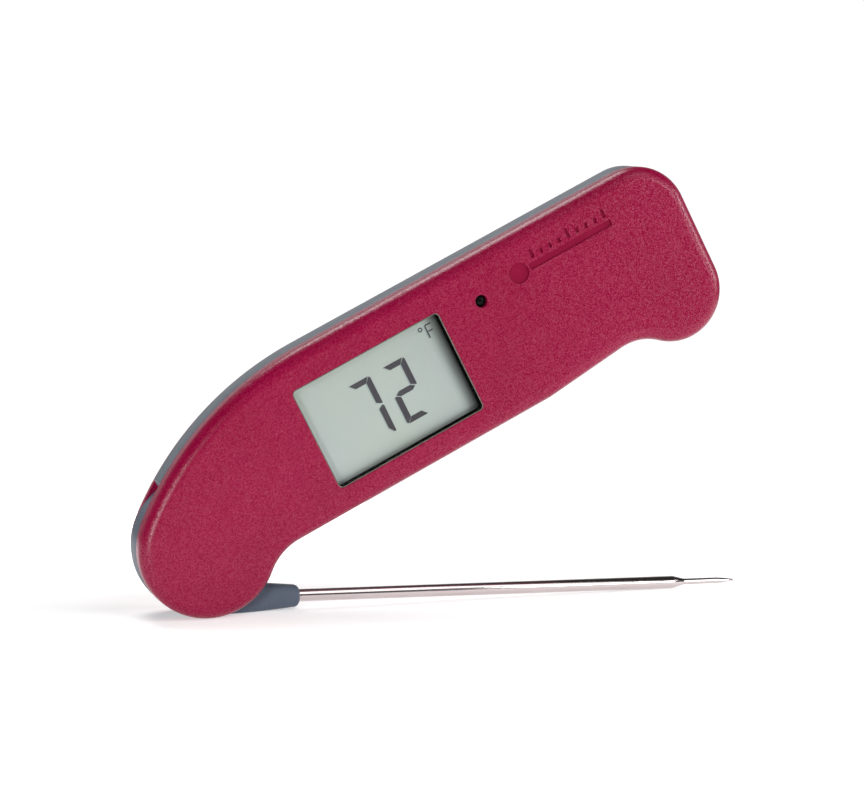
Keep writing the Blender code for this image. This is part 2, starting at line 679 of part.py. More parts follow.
def make_hub(probe, mats):
    """Hub disc with trunnions and the boot that holds the probe shaft, and the friction washer."""
    front_end, rear_end = TRUNNION_Y
    half = BAND_HALF
    profile = (
        (0.0, rear_end),
        (TRUNNION_R - 0.3, rear_end),
        (TRUNNION_R, rear_end - 0.3),
        (TRUNNION_R, half),
        (HUB_R - HUB_RIM_R, half),
        (HUB_R, half - HUB_RIM_R),
        (HUB_R, HUB_RIM_R - half),
        (HUB_R - HUB_RIM_R, -half),
        (TRUNNION_R, -half),
        (TRUNNION_R, front_end),
        (0.0, front_end),
    )
    hub = turned("probe_hub", profile, probe, mats["boot"], steps=48)
    boolean(hub, make_boot(probe), "UNION")

    bore_r = SHAFT_R + GAP
    bore_end = BOOT_END_S + 1
    bore_root = SHAFT_ROOT_S - 0.8
    bore = ((0.0, bore_end), (bore_r, bore_end), (bore_r, bore_root), (0.0, bore_root))
    boolean(hub, turned("hub_cut_bore", bore, probe, None, (0.0, -PROBE_OFFSET), "X"))
    passage = ((0.0, 0.0, 0.0), (SHAFT_ROOT_S, 0.0, -PROBE_OFFSET))
    boolean(hub, wire("hub_cut_passage", passage, WIRE_R + 0.5, probe))
    boolean(hub, rod("hub_cut_axis", 1.4, -8, 1.4, probe))
    boolean(hub, ring("hub_cut_washer", 7.6, 12.4, 2.0, 5.0, probe))
    ring("friction_washer", 8.0, 12.0, 2.35, half - 0.05, probe, mats["steel"])


def make_probe(probe, mats):
    """Steel probe tube with its reduced tip, and the thermocouple wire inside."""
    bore_r = WIRE_R + GAP
    profile = (
        (0.0, TIP_S),
        (0.22, TIP_S - 0.35),
        (TIP_R, TIP_S - 4.0),
        (TIP_R, NECK_S + NECK_LENGTH),
        (SHAFT_R, NECK_S),
        (SHAFT_R, SHAFT_ROOT_S),
        (bore_r, SHAFT_ROOT_S),
        (bore_r, NECK_S - 4.0),
        (0.0, NECK_S - 3.0),
    )
    turned("probe_shaft", profile, probe, mats["steel"], (0.0, -PROBE_OFFSET), "X", steps=32)
    points = (
        (0.0, -4.9, 0.0),
        (0.0, 0.0, 0.0),
        (SHAFT_ROOT_S - 0.4, 0.0, -PROBE_OFFSET),
        (NECK_S - 5.0, 0.0, -PROBE_OFFSET),
    )
    wire("thermocouple_wire", points, WIRE_R, probe, mats["copper"])


def make_hub_seals(handle, mats):
    """Rubber rings round the trunnions, and the lead from the hinge to the board."""
    for side, middle in (("front", -4.05), ("rear", 4.05)):
        profile = []
        for i in range(10):
            angle = -math.tau * i / 10
            profile.append((5.6 + 0.55 * math.cos(angle), middle + 0.5 * math.sin(angle)))
        turned(f"hub_seal_{side}", profile, handle, mats["rubber"], closed=True)
    lead = ((0.0, -6.5, 0.0), (20.0, -6.5, 0.0), (21.0, -5.9, 1.0), (23.6, -4.0, 4.0), (24.0, -3.1, 5.0))
    wire("thermocouple_lead", lead, WIRE_R, handle, mats["copper"])


# ---------------------------------------------------------------- assembly

def rest_droop():
    """Angle below horizontal at which the shaft's end touches the ground."""
    return math.asin((ROUND_END_R - PROBE_OFFSET - SHAFT_R) / NECK_S)


def make_frames():
    """Empties on the hinge axis for the handle and for the probe."""
    droop = rest_droop()
    tip_x = TIP_S * math.cos(droop) - PROBE_OFFSET * math.sin(droop)
    pivot_x = -(tip_x - ROUND_END_R) / 2
    frames = []
    for name, angle in (("handle_frame", -math.radians(HANDLE_TILT)), ("probe_frame", droop)):
        empty = bpy.data.objects.new(name, None)
        bpy.data.collections[COLLECTION].objects.link(empty)
        empty.location = (pivot_x * MM, 0.0, ROUND_END_R * MM)
        empty.rotation_euler = (0.0, angle, 0.0)
        frames.append(empty)
    return frames


def make_materials():
    """Every finish on the object."""
    return {
        "red": material("maroon_plastic", (0.36, 0.02, 0.08), 0.45),
        "grey": material("grey_rubber", (0.28, 0.29, 0.31), 0.6),
        "boot": material("hub_plastic", (0.10, 0.12, 0.15), 0.5),
        "rubber": material("black_rubber", (0.02, 0.02, 0.02), 0.8),
        "clear": material("clear_plastic", (0.9, 0.93, 0.92), 0.05, 0.0, 0.9),
        "lcd": material("display_glass", (0.48, 0.54, 0.50), 0.2),
        "white": material("white_plastic", (0.8, 0.8, 0.78), 0.5),
        "pink": material("contact_rubber", (0.6, 0.3, 0.3), 0.7),
        "board": material("board_laminate", (0.02, 0.18, 0.06), 0.5),
        "chip": material("chip_resin", (0.03, 0.03, 0.03), 0.5),
        "smoke": material("smoked_plastic", (0.02, 0.02, 0.02), 0.2),
        "steel": material("stainless_steel", (0.6, 0.59, 0.58), 0.25, 1.0),
        "copper": material("wire_sleeve", (0.5, 0.25, 0.1), 0.5),
        "battery": material("battery_jacket", (0.1, 0.1, 0.12), 0.35),
    }


def build():
    """Whole thermometer."""
    clear_scene()
    handle, probe = make_frames()
    mats = make_materials()
    make_front_shell(handle, mats["red"])
    make_rear_shell(handle, mats["red"])
    make_band(handle, mats["grey"], mats["rubber"])
    make_display(handle, mats)
    make_board(handle, mats)
    for i, place in enumerate(CASE_SCREWS):
        make_screw(f"case_screw_{i + 1}", place, 7.0, 1.2, 1.9, 12.5, 0.9, handle, mats["steel"])
    make_battery(handle, mats)
    make_door(handle, mats)
    make_settings_button(handle, mats)
    make_hub(probe, mats)
    make_probe(probe, mats)
    make_hub_seals(handle, mats)


build()
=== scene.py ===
"""Looks of the folding-probe meat thermometer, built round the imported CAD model.

Shapes are worked out in millimetres in the same two flat frames as the CAD: the handle
frame (u along the handle, v towards its spine) and the probe frame (s along the probe,
n away from the hinge axis), both with their origin on the hinge axis. Depth y is the
world's own and is negative at the display.
"""

import json
import math

import bmesh
import bpy
from mathutils import Matrix, Vector


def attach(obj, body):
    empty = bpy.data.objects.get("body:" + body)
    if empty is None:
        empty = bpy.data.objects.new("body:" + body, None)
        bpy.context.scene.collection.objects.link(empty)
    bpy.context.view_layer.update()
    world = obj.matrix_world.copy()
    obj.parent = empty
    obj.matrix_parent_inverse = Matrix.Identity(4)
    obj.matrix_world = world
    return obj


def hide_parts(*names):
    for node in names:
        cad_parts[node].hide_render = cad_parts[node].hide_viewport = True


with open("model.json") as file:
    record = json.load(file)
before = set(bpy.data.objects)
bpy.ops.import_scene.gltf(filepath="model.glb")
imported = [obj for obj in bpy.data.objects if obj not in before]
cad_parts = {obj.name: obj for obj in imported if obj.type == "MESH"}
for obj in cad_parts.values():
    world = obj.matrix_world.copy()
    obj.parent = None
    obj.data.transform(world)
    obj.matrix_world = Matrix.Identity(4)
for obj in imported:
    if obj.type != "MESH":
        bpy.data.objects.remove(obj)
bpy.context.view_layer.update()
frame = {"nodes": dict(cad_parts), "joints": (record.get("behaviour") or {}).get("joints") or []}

MM = 0.001

# Frames
HANDLE_TILT = 26.97
STOWED_ANGLE = 3.0
ROUND_END_R = 16.4
PROBE_OFFSET = 12.9
SHAFT_R = 1.5
NECK_S = 118.2
NECK_LENGTH = 3.0
PIVOT = Vector(next(j for j in frame["joints"] if j["name"] == "probe_fold")["pos_m"])
DROOP = math.asin((ROUND_END_R - PROBE_OFFSET - SHAFT_R) / NECK_S)
HANDLE = Matrix.Translation(PIVOT) @ Matrix.Rotation(-math.radians(HANDLE_TILT), 4, "Y")
PROBE = Matrix.Translation(PIVOT) @ Matrix.Rotation(DROOP, 4, "Y")

# Handle outline
TOP_V = 31.3
SPINE_START_U = 40.9
FAR_END_U = 140.4
CORNER_R = 12.4
BUMP_R = 12.4
BUMP_CENTRE_V = -0.6
BOTTOM_V = -8.8
BOTTOM_END_U = 89.2
BOTTOM_RISE = 5.1
NOTCH_R = 12.5
WAIST_R = 13.7
ARC_STEP = 2.5

# Case
HALF_DEPTH = 9.5
PARTING_Y = 3.6
FRONT_EDGE_R = 3.3
REAR_EDGE_R = 5.1
REAR_INSET = 0.4
INNER_FACE_Y = 7.9
SHELL_WALL = 2.0
EDGE_STEPS = 14
RIM_R = 0.22
BAND_HALF = 3.5
BAND_RECESS = 0.05
BAND_WALL = 2.0
BAND_START_U = -2.5
HUB_CLEARANCE_R = 17.0
TRUNNION_BORE_R = 4.8
TRUNNION_BORE_Y = 7.6
SEAL_BORE_R = 6.6
SEAL_BORE_Y = 4.9
TIP_S = 134.4
SLOT_END_S = TIP_S + 1.6
SLOT_ROOF_BOOT = -8.7
SLOT_ROOF_SHAFT = -11.0

# Display
WINDOW_CENTRE = (53.35, 10.4)
WINDOW_SIZE = (39.6, 25.9)
WINDOW_CORNER_R = 1.2
LENS_FRONT_Y = -9.38
LIP = 0.2
WALL_THICKNESS = 0.02
GLASS_SIZE = (41.0, 27.0)
LCD_FRONT_Y = -6.3
TENS_LEFT = -7.26
UNITS_LEFT = 2.1
DIGIT_WIDTH = 6.35
DIGIT_TOP = 6.85
DIGIT_BOTTOM = -8.0
# Shift of the painted shadow of the display's figures, along the handle and towards its spine
FIGURE_SHADOW_OFFSET = (-0.34, -0.02)
SENSOR_UV = (83.8, 20.4)
SENSOR_HOLE_R = 1.5
MARK_FLOOR_Y = 0.4 - HALF_DEPTH
MARK_SKIN = 0.02
MARK_START_U = 92.0
MARK_BULB_UV = (95.0, 21.9)
MARK_BULB_R = 2.5
MARK_STEM_UV = (109.4, 21.9)
MARK_STEM_SIZE = (22.8, 1.6)
MARK_LINE_START = (99.8, 23.6)
MARK_LINE_PITCH = 2.5

# Battery door and its bay
BATTERY_R = 5.25
BATTERY_LENGTH = 44.5
BATTERY_U = 81.6
BATTERY_V = 5.6
BATTERY_Y = 2.35
BAY_HALF_V = 6.2
BAY_WALL = 1.2
BAY_U = (78.3, 129.0)
BAY_FLOOR_Y = -3.2
BUTTON_BAY_U = (71.5, 77.1)
BUTTON_BAY_FLOOR_Y = 2.6
BUTTON_U = 74.3
DOOR_U = (66.5, 134.5)
DOOR_HALF_V = 7.4
DOOR_CORNER_R = 2.5
DOOR_INNER_Y = 7.9
DOOR_SHELF_Y = 7.0
DOOR_SCREW_U = (68.6, 132.0)
CASE_SCREWS = ((25.5, 20.5), (25.5, -1.0), (79.5, 24.5), (130.5, 22.5))

# Probe
HUB_R = 16.3
HUB_HALF = 3.4
BOOT_END_S = 23.3
BOOT_ROOT_HALF = 4.5
BOOT_END_HALF = 2.5


# ---------------------------------------------------------------- flat outlines

def arc(centre, radius, start, end, step=ARC_STEP):
    """Points on an arc from start to end degrees, both ends included."""
    count = max(1, math.ceil(abs(end - start) / step))
    points = []
    for i in range(count + 1):
        angle = math.radians(start + (end - start) * i / count)
        points.append((centre[0] + radius * math.cos(angle), centre[1] + radius * math.sin(angle)))
    return points


def angle_to(centre, target):
    """Direction in degrees from one point to another."""
    return math.degrees(math.atan2(target[1] - centre[1], target[0] - centre[0]))


def notch_centre(bump):
    """Centre of the finger notch: tangent to the rising bottom line and to the bump."""
    rise = math.radians(BOTTOM_RISE)
    along = Vector((math.cos(rise), math.sin(rise)))
    start = Vector((BOTTOM_END_U, BOTTOM_V)) - NOTCH_R * Vector((-math.sin(rise), math.cos(rise)))
    to_bump = Vector(bump) - start
    middle = to_bump.dot(along)
    across = to_bump.length_squared - middle ** 2
    reach = middle - math.sqrt((NOTCH_R + BUMP_R) ** 2 - across)
    return tuple(start + reach * along)


def outline(inset=0.0):
    """Handle outline, counter-clockwise, moved inwards by inset."""
    pivot = (0.0, 0.0)
    waist_v = BOTTOM_V - WAIST_R
    waist = (math.sqrt((ROUND_END_R + WAIST_R) ** 2 - waist_v ** 2), waist_v)
    bump = (FAR_END_U - BUMP_R, BUMP_CENTRE_V)
    notch = notch_centre(bump)
    corner = (FAR_END_U - CORNER_R, TOP_V - CORNER_R)
    spine_r = (SPINE_START_U ** 2 + TOP_V ** 2 - ROUND_END_R ** 2) / (2 * (TOP_V - ROUND_END_R))
    spine = (SPINE_START_U, TOP_V - spine_r)
    half_rise = math.tan(math.radians(BOTTOM_RISE / 2))
    points = arc(pivot, ROUND_END_R - inset, angle_to(spine, pivot), 360.0 + angle_to(pivot, waist))
    points += arc(waist, WAIST_R + inset, angle_to(waist, pivot), 90.0)[1:]
    points.append((BOTTOM_END_U - inset * half_rise, BOTTOM_V + inset))
    points += arc(notch, NOTCH_R + inset, 90.0 + BOTTOM_RISE, angle_to(notch, bump))
    points += arc(bump, BUMP_R - inset, angle_to(bump, notch), 0.0)[1:]
    points += arc(corner, CORNER_R - inset, 0.0, 90.0)
    points += arc(spine, spine_r - inset, 90.0, angle_to(spine, pivot), 1.0)[:-1]
    return points


def rectangle(centre, size, corner_r=0.0, steps=6):
    """Rectangle round a centre, with round corners if corner_r is given."""
    half_u = size[0] / 2 - corner_r
    half_v = size[1] / 2 - corner_r
    points = []
    for quarter, (su, sv) in enumerate(((1, 1), (-1, 1), (-1, -1), (1, -1))):
        middle = (centre[0] + su * half_u, centre[1] + sv * half_v)
        if corner_r == 0.0:
            points.append(middle)
        else:
            points += arc(middle, corner_r, 90.0 * quarter, 90.0 * (quarter + 1), 90.0 / steps)
    return points


def slot_region(wall):
    """Space that the folded probe sweeps out of the case, grown by a wall."""
    start = -2.0
    mouth = -40.0
    end = SLOT_END_S + wall
    roof_boot = SLOT_ROOF_BOOT + wall
    roof_shaft = SLOT_ROOF_SHAFT + wall
    stowed = (
        (start, mouth),
        (end, mouth),
        (end, roof_shaft),
        (BOOT_END_S + 5.2, roof_shaft),
        (BOOT_END_S + 3.2, roof_boot),
        (start, roof_boot),
    )
    turn = math.radians(STOWED_ANGLE)
    points = []
    for s, n in stowed:
        points.append((s * math.cos(turn) - n * math.sin(turn), s * math.sin(turn) + n * math.cos(turn)))
    return points


def fillet(inset0, y0, inset1, y1, steps):
    """Quarter round from a wall at inset0 to a face at y1, as (inset, y) pairs."""
    pairs = []
    for i in range(steps + 1):
        angle = math.pi / 2 * i / steps
        pairs.append((inset1 + (inset0 - inset1) * math.cos(angle), y0 + (y1 - y0) * math.sin(angle)))
    return pairs


# ---------------------------------------------------------------- mesh helpers

def finish_mesh(name, bm, matrix):
    """Object from a bmesh in millimetres, smooth with sharp creases."""
    bmesh.ops.recalc_face_normals(bm, faces=bm.faces)
    bmesh.ops.scale(bm, vec=(MM, MM, MM), verts=bm.verts)
    mesh = bpy.data.meshes.new(name)
    bm.to_mesh(mesh)
    bm.free()
    shade(mesh)
    obj = bpy.data.objects.new(name, mesh)
    bpy.context.scene.collection.objects.link(obj)
    obj.matrix_world = matrix
    return obj


def shade(mesh, sharp=35.0):
    """Smooth shading, with creases where faces turn by more than sharp degrees."""
    mesh.shade_smooth()
    mesh.set_sharp_from_angle(angle=math.radians(sharp))


def loft(name, rings, matrix):
    """Closed skin over rings of (u, y, v) points with equal counts, capped at both ends."""
    bm = bmesh.new()
    loops = [[bm.verts.new(point) for point in ring] for ring in rings]
    for low, high in zip(loops, loops[1:]):
        for i in range(len(low)):
            j = (i + 1) % len(low)
            bm.faces.new((low[i], low[j], high[j], high[i]))
    bm.faces.new(loops[0])
    bm.faces.new(reversed(loops[-1]))
    return finish_mesh(name, bm, matrix)


def plate(name, points, y0, y1, matrix, edge=0.0):
    """Flat outline given depth along Y; edge rounds its sharp edges by that much."""
    rings = [[(u, y0, v) for u, v in points], [(u, y1, v) for u, v in points]]
    obj = loft(name, rings, matrix)
    if edge > 0.0:
        bevel = obj.modifiers.new("edge", "BEVEL")
        bevel.width = edge * MM
        bevel.segments = 3
        bevel.limit_method = "ANGLE"
        bevel.angle_limit = math.radians(50.0)
        bevel.harden_normals = True
    return obj


def case_solid(name, profile):
    """Solid whose section at every (inset, y) pair is the handle outline moved inwards by inset."""
    rings = [[(u, y, v) for u, v in outline(inset)] for inset, y in profile]
    return loft(name, rings, HANDLE)


def turned(name, profile, matrix, centre=(0.0, 0.0), along="Y", steps=48, closed=False):
    """Turned shape from (radius, height) pairs, along Y or X. A closed profile makes a ring."""
    bm = bmesh.new()
    verts = [bm.verts.new((r, 0.0, h)) for r, h in profile]
    edges = [bm.edges.new(pair) for pair in zip(verts, verts[1:])]
    if closed:
        edges.append(bm.edges.new((verts[-1], verts[0])))
    bmesh.ops.spin(
        bm, geom=verts + edges, cent=(0, 0, 0), axis=(0, 0, 1), dvec=(0, 0, 0), angle=math.tau, steps=steps
    )
    bmesh.ops.remove_doubles(bm, verts=bm.verts, dist=0.002)
    if along == "Y":
        place = Matrix.Translation((centre[0], 0.0, centre[1])) @ Matrix.Rotation(-math.pi / 2, 4, "X")
    else:
        place = Matrix.Translation((0.0, centre[0], centre[1])) @ Matrix.Rotation(math.pi / 2, 4, "Y")
    bmesh.ops.transform(bm, matrix=place, verts=bm.verts)
    return finish_mesh(name, bm, matrix)


def rod(name, radius, y0, y1, matrix, centre=(0.0, 0.0), steps=48):
    """Plain cylinder along Y with flat caps."""
    points = []
    for i in range(steps):
        angle = math.tau * i / steps
        points.append((centre[0] + radius * math.cos(angle), centre[1] + radius * math.sin(angle)))
    return plate(name, points, y0, y1, matrix)


def block(name, u_range, v_range, y_range, matrix):
    """Box between limits."""
    centre = ((u_range[0] + u_range[1]) / 2, (v_range[0] + v_range[1]) / 2)
    size = (u_range[1] - u_range[0], v_range[1] - v_range[0])
    return plate(name, rectangle(centre, size), y_range[0], y_range[1], matrix)


def bake(obj):
    """Turn an object's modifiers into its mesh."""
    bpy.context.view_layer.update()
    evaluated = obj.evaluated_get(bpy.context.evaluated_depsgraph_get())
    mesh = bpy.data.meshes.new_from_object(evaluated)
    old = obj.data
    obj.modifiers.clear()
    obj.data = mesh
    bpy.data.meshes.remove(old)
    mesh.name = obj.name


def carve(obj, tools, operation="DIFFERENCE"):
    """Cut or join tools, one after another, then remove them."""
    for tool in tools:
        modifier = obj.modifiers.new("carve", "BOOLEAN")
        modifier.operation = operation
        modifier.solver = "EXACT"
        modifier.object = tool
    bake(obj)
    for tool in tools:
        bpy.data.objects.remove(tool, do_unlink=True)
    return obj


def round_face_edges(obj, face_y, width, segments=3, near=None):
    """Round the edges where cut walls meet the flat face at depth face_y, all or those near(u, v)."""
    bm = bmesh.new()
    bm.from_mesh(obj.data)
    bmesh.ops.dissolve_degenerate(bm, edges=bm.edges, dist=0.000001)
    picked = []
    for edge in bm.edges:
        if any(abs(v.co.y - face_y * MM) > 0.00002 for v in edge.verts) or len(edge.link_faces) != 2:
            continue
        if edge.calc_face_angle(0.0) < math.radians(60.0):
            continue
        middle = (edge.verts[0].co + edge.verts[1].co) / 2
        if near is None or near(middle.x / MM, middle.z / MM):
            picked.append(edge)
    bmesh.ops.bevel(
        bm, geom=picked, offset=width * MM, offset_type="OFFSET", segments=segments, profile=0.5,
        affect="EDGES", clamp_overlap=True
    )
    bm.to_mesh(obj.data)
    bm.free()
    shade(obj.data)


def weight_normals(obj):
    """Keep big flat faces flat in shading."""
    modifier = obj.modifiers.new("normals", "WEIGHTED_NORMAL")
    modifier.keep_sharp = True
    modifier.weight = 100


def bay(wall, y0, y1):
    """Electronics space inside the band, moved inwards by wall all round."""
    body = plate("bay", outline(BAND_RECESS + wall), y0, y1, HANDLE)
    hub = rod("bay_hub", HUB_CLEARANCE_R + wall, y0 - 1, y1 + 1, HANDLE, steps=144)
    slot = plate("bay_slot", slot_region(wall), y0 - 1, y1 + 1, HANDLE)
    start = block("bay_start", (-30, BAND_START_U), (-30, 60), (y0 - 1, y1 + 1), HANDLE)
    return carve(body, [hub, slot, start])


def dress(obj, body, mat, slot_name, *nodes):
    """Give a piece its material and its body, and hide the CAD nodes it stands for; slot_name is not used.
    """
    obj.data.materials.clear()
    obj.data.materials.append(mat)
    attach(obj, body)
    if nodes:
        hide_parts(*nodes)


# ---------------------------------------------------------------- materials

class Shader:
    """Small helper that builds a material's node tree."""

    def __init__(self, name):
        self.mat = bpy.data.materials.new(name)
        self.mat.use_nodes = True
        self.tree = self.mat.node_tree
        self.principled = self.tree.nodes["Principled BSDF"]
        self.coords = self.tree.nodes.new("ShaderNodeTexCoord")

    def node(self, kind, links=None, **settings):
        """New node; links gives its inputs, each a value or another node's output."""
        node = self.tree.nodes.new(kind)
        for key, value in settings.items():
            setattr(node, key, value)
        for key, value in (links or {}).items():
            socket = node.inputs[key]
            if isinstance(value, bpy.types.NodeSocket):
                self.tree.links.new(value, socket)
            else:
                socket.default_value = value
        return node

    def set(self, **values):
        """Give inputs of the surface shader, each a value or a node's output."""
        for key, value in values.items():
            socket = self.principled.inputs[key.replace("_", " ")]
            if isinstance(value, bpy.types.NodeSocket):
                self.tree.links.new(value, socket)
            else:
                socket.default_value = value

    def noise(self, scale, detail=2.0, rough=0.5, stretch=None):
        """Noise value on the piece, its axes scaled by stretch if given."""
        source = self.coords.outputs["Object"]
        if stretch:
            source = self.node("ShaderNodeMapping", {"Vector": source, "Scale": stretch}).outputs["Vector"]
        links = {"Vector": source, "Scale": scale, "Detail": detail, "Roughness": rough}
        return self.node("ShaderNodeTexNoise", links).outputs["Fac"]

    def cells(self, scale):
        """Random colour per cell of a Voronoi pattern."""
        links = {"Vector": self.coords.outputs["Object"], "Scale": scale}
        return self.node("ShaderNodeTexVoronoi", links).outputs["Color"]

    def facets(self, cells, spread):
        """Normal turned a little in its own random direction in every cell."""
        normal = self.node("ShaderNodeNewGeometry").outputs["Normal"]
        links = {0: cells, 1: (0.5, 0.5, 0.5)}
        centred = self.node("ShaderNodeVectorMath", links, operation="SUBTRACT").outputs[0]
        links = {0: centred, 1: (spread, spread, spread), 2: normal}
        turned_normal = self.node("ShaderNodeVectorMath", links, operation="MULTIPLY_ADD").outputs[0]
        return self.node("ShaderNodeVectorMath", {0: turned_normal}, operation="NORMALIZE").outputs[0]

    def ramp(self, fac, *stops):
        """Colour that follows a value through (position, colour) stops."""
        node = self.node("ShaderNodeValToRGB", {"Fac": fac})
        elements = node.color_ramp.elements
        while len(elements) < len(stops):
            elements.new(0.5)
        for element, (position, color) in zip(elements, stops):
            element.position = position
            element.color = (*color, 1.0)
        return node.outputs["Color"]

    def scalar(self, fac, low, high, start=0.0, end=1.0):
        """Value from low to high while fac goes from start to end."""
        links = {"Value": fac, "From Min": start, "From Max": end, "To Min": low, "To Max": high}
        return self.node("ShaderNodeMapRange", links).outputs["Result"]

    def mix(self, fac, a, b):
        """Colour between a and b. The node's colour sockets share names, so they are taken by number."""
        node = self.node("ShaderNodeMix", data_type="RGBA")
        for index, value in ((0, fac), (6, a), (7, b)):
            socket = node.inputs[index]
            if isinstance(value, bpy.types.NodeSocket):
                self.tree.links.new(value, socket)
            elif index == 0:
                socket.default_value = value
            else:
                socket.default_value = (*value, 1.0)
        return node.outputs[2]

    def bump(self, height, strength, distance):
        """Normal that follows a height pattern."""
        links = {"Height": height, "Strength": strength, "Distance": distance}
        return self.node("ShaderNodeBump", links).outputs["Normal"]


def srgb(r, g, b):
    """Linear colour of 0-255 display values."""
    result = []
    for value in (r, g, b):
        share = value / 255.0
        result.append(share / 12.92 if share <= 0.04045 else ((share + 0.055) / 1.055) ** 2.4)
    return tuple(result)


def grey(value):
    """Linear grey."""
    return (value, value, value)


def maroon_plastic():
    """Moulded case plastic with a fine spark-eroded grain whose facets glint."""
    s = Shader("maroon_plastic")
    broad = s.noise(60.0, 3.0)
    cells = s.cells(5600.0)
    chance = s.node("ShaderNodeSeparateColor", {"Color": cells}).outputs["Red"]
    color = s.ramp(broad, (0.3, srgb(133, 0, 51)), (0.7, srgb(139, 1, 56)))
    color = s.mix(s.scalar(chance, 0.55, 0.0, 0.0, 0.6), color, srgb(96, 0, 30))
    s.set(
        Base_Color=color, Roughness=s.scalar(chance, 0.27, 0.37), Normal=s.facets(cells, 0.15),
        Specular_IOR_Level=s.scalar(chance, 0.14, 0.60, 0.3, 1.0)
    )
    return s.mat


def mark_shade_plastic():
    """Smoother case plastic with less gloss at the bottom of the sunk mark, in a darker maroon that paints
    the shade in the recess.
    """
    s = Shader("mark_shade_plastic")
    broad = s.noise(200.0, 2.0)
    color = s.ramp(broad, (0.3, srgb(118, 0, 42)), (0.7, srgb(124, 0, 46)))
    s.set(Base_Color=color, Roughness=s.scalar(broad, 0.32, 0.4), Specular_IOR_Level=0.15)
    return s.mat


def soft_grey(name, dark, light, roughness, specular):
    """Satin grey moulding with a faint mottle."""
    s = Shader(name)
    broad = s.noise(90.0, 4.0)
    grain = s.noise(5200.0, 2.0)
    color = s.ramp(broad, (0.3, dark), (0.7, light))
    color = s.mix(s.scalar(grain, 0.0, 0.25, 0.5, 0.75), color, tuple(min(1.0, c * 1.5) for c in light))
    s.set(
        Base_Color=color, Roughness=s.scalar(grain, roughness - 0.07, roughness + 0.07, 0.3, 0.7),
        Normal=s.bump(grain, 0.16, 0.0001), Specular_IOR_Level=specular
    )
    return s.mat


def polished_steel():
    """Drawn and polished stainless steel; its grey is the steel's own and its pink cast is a painted
    reflection.
    """
    s = Shader("polished_steel")
    lines = s.noise(900.0, 3.0, 0.6, (0.02, 1.0, 1.0))
    # Painted reflection: the grey level is the steel's own, the pink cast stands in for a pink reflection
    # in the steel.
    painted_pink_reflection_tint = s.ramp(s.noise(40.0, 2.0), (0.3, (0.60, 0.52, 0.52)), (0.7, (0.66, 0.59, 0.59)))
    s.set(
        Base_Color=painted_pink_reflection_tint, Metallic=1.0, Roughness=s.scalar(lines, 0.09, 0.17, 0.3, 0.7),
        Normal=s.bump(lines, 0.06, 0.00005)
    )
    return s.mat


def screw_steel():
    """Plated screw with faint turning marks."""
    s = Shader("screw_steel")
    marks = s.noise(3000.0, 3.0)
    s.set(
        Base_Color=s.ramp(marks, (0.3, (0.34, 0.34, 0.35)), (0.7, (0.52, 0.52, 0.53))), Metallic=1.0,
        Roughness=s.scalar(marks, 0.25, 0.42, 0.3, 0.7), Normal=s.bump(marks, 0.12, 0.00008)
    )
    return s.mat


def clear_window():
    """Thin clear plastic: straight-through light with a glossy surface."""
    s = Shader("clear_window")
    s.mat.surface_render_method = "BLENDED"
    haze = s.noise(500.0, 2.0)
    s.set(
        Base_Color=(0.01, 0.01, 0.01, 1.0), Roughness=s.scalar(haze, 0.03, 0.07), Alpha=0.05
    )
    return s.mat


def lcd_panel():
    """Reflective liquid-crystal display with a painted shadow of the window's right wall: its colour
    darkens and its gloss fades towards its right edge.
    """
    s = Shader("lcd_panel")
    broad = s.noise(45.0, 2.0)
    grain = s.noise(2600.0, 2.0)
    along = s.node("ShaderNodeSeparateXYZ", {"Vector": s.coords.outputs["Object"]}).outputs["X"]
    edge = (WINDOW_CENTRE[0] + WINDOW_SIZE[0] / 2) * MM
    # Painted shade: the shadow of the window's right wall, taking the panel to near black and without gloss
    # over its last 4.6 mm on the right.
    painted_wall_shadow_ramp = s.scalar(along, 0.0, 1.0, edge - 4.6 * MM, edge - 0.1 * MM)
    painted_wall_shadow = s.node("ShaderNodeMath", {0: painted_wall_shadow_ramp, 1: 1.7}, operation="POWER").outputs["Value"]
    color = s.ramp(broad, (0.3, srgb(190, 201, 190)), (0.7, srgb(189, 199, 196)))
    color = s.mix(s.scalar(grain, 0.0, 0.12, 0.4, 0.7), color, srgb(172, 184, 178))
    color = s.mix(painted_wall_shadow, color, srgb(4, 5, 5))
    s.set(
        Base_Color=color, Metallic=0.75, Roughness=s.scalar(grain, 0.38, 0.46, 0.3, 0.7),
        Specular_IOR_Level=s.scalar(painted_wall_shadow, 0.5, 0.0)
    )
    return s.mat


def plain(name, low, high, scale, roughness, metallic=0.0, bump=0.1, specular=0.5):
    """Colour that wanders between two values with a fine bump."""
    s = Shader(name)
    fac = s.noise(scale, 3.0)
    s.set(
        Base_Color=s.ramp(fac, (0.3, low), (0.7, high)), Metallic=metallic, Specular_IOR_Level=specular,
        Roughness=s.scalar(fac, roughness - 0.06, roughness + 0.06, 0.3, 0.7),
        Normal=s.bump(fac, bump, 0.0001)
    )
    return s.mat


def board_laminate():
    """Green lacquered board with tracks showing through."""
    s = Shader("board_laminate")
    links = {"Vector": s.coords.outputs["Object"], "Scale": 260.0, "Mortar Size": 0.03}
    tracks = s.node("ShaderNodeTexBrick", links)
    tracks.inputs["Color1"].default_value = (*srgb(18, 92, 48), 1.0)
    tracks.inputs["Color2"].default_value = (*srgb(20, 98, 52), 1.0)
    tracks.inputs["Mortar"].default_value = (*srgb(46, 128, 74), 1.0)
    speck = s.noise(1800.0, 2.0)
    color = s.mix(s.scalar(speck, 0.0, 0.3, 0.5, 0.8), tracks.outputs["Color"], srgb(10, 60, 30))
    s.set(Base_Color=color, Roughness=0.35, Normal=s.bump(tracks.outputs["Fac"], 0.15, 0.0001))
    return s.mat


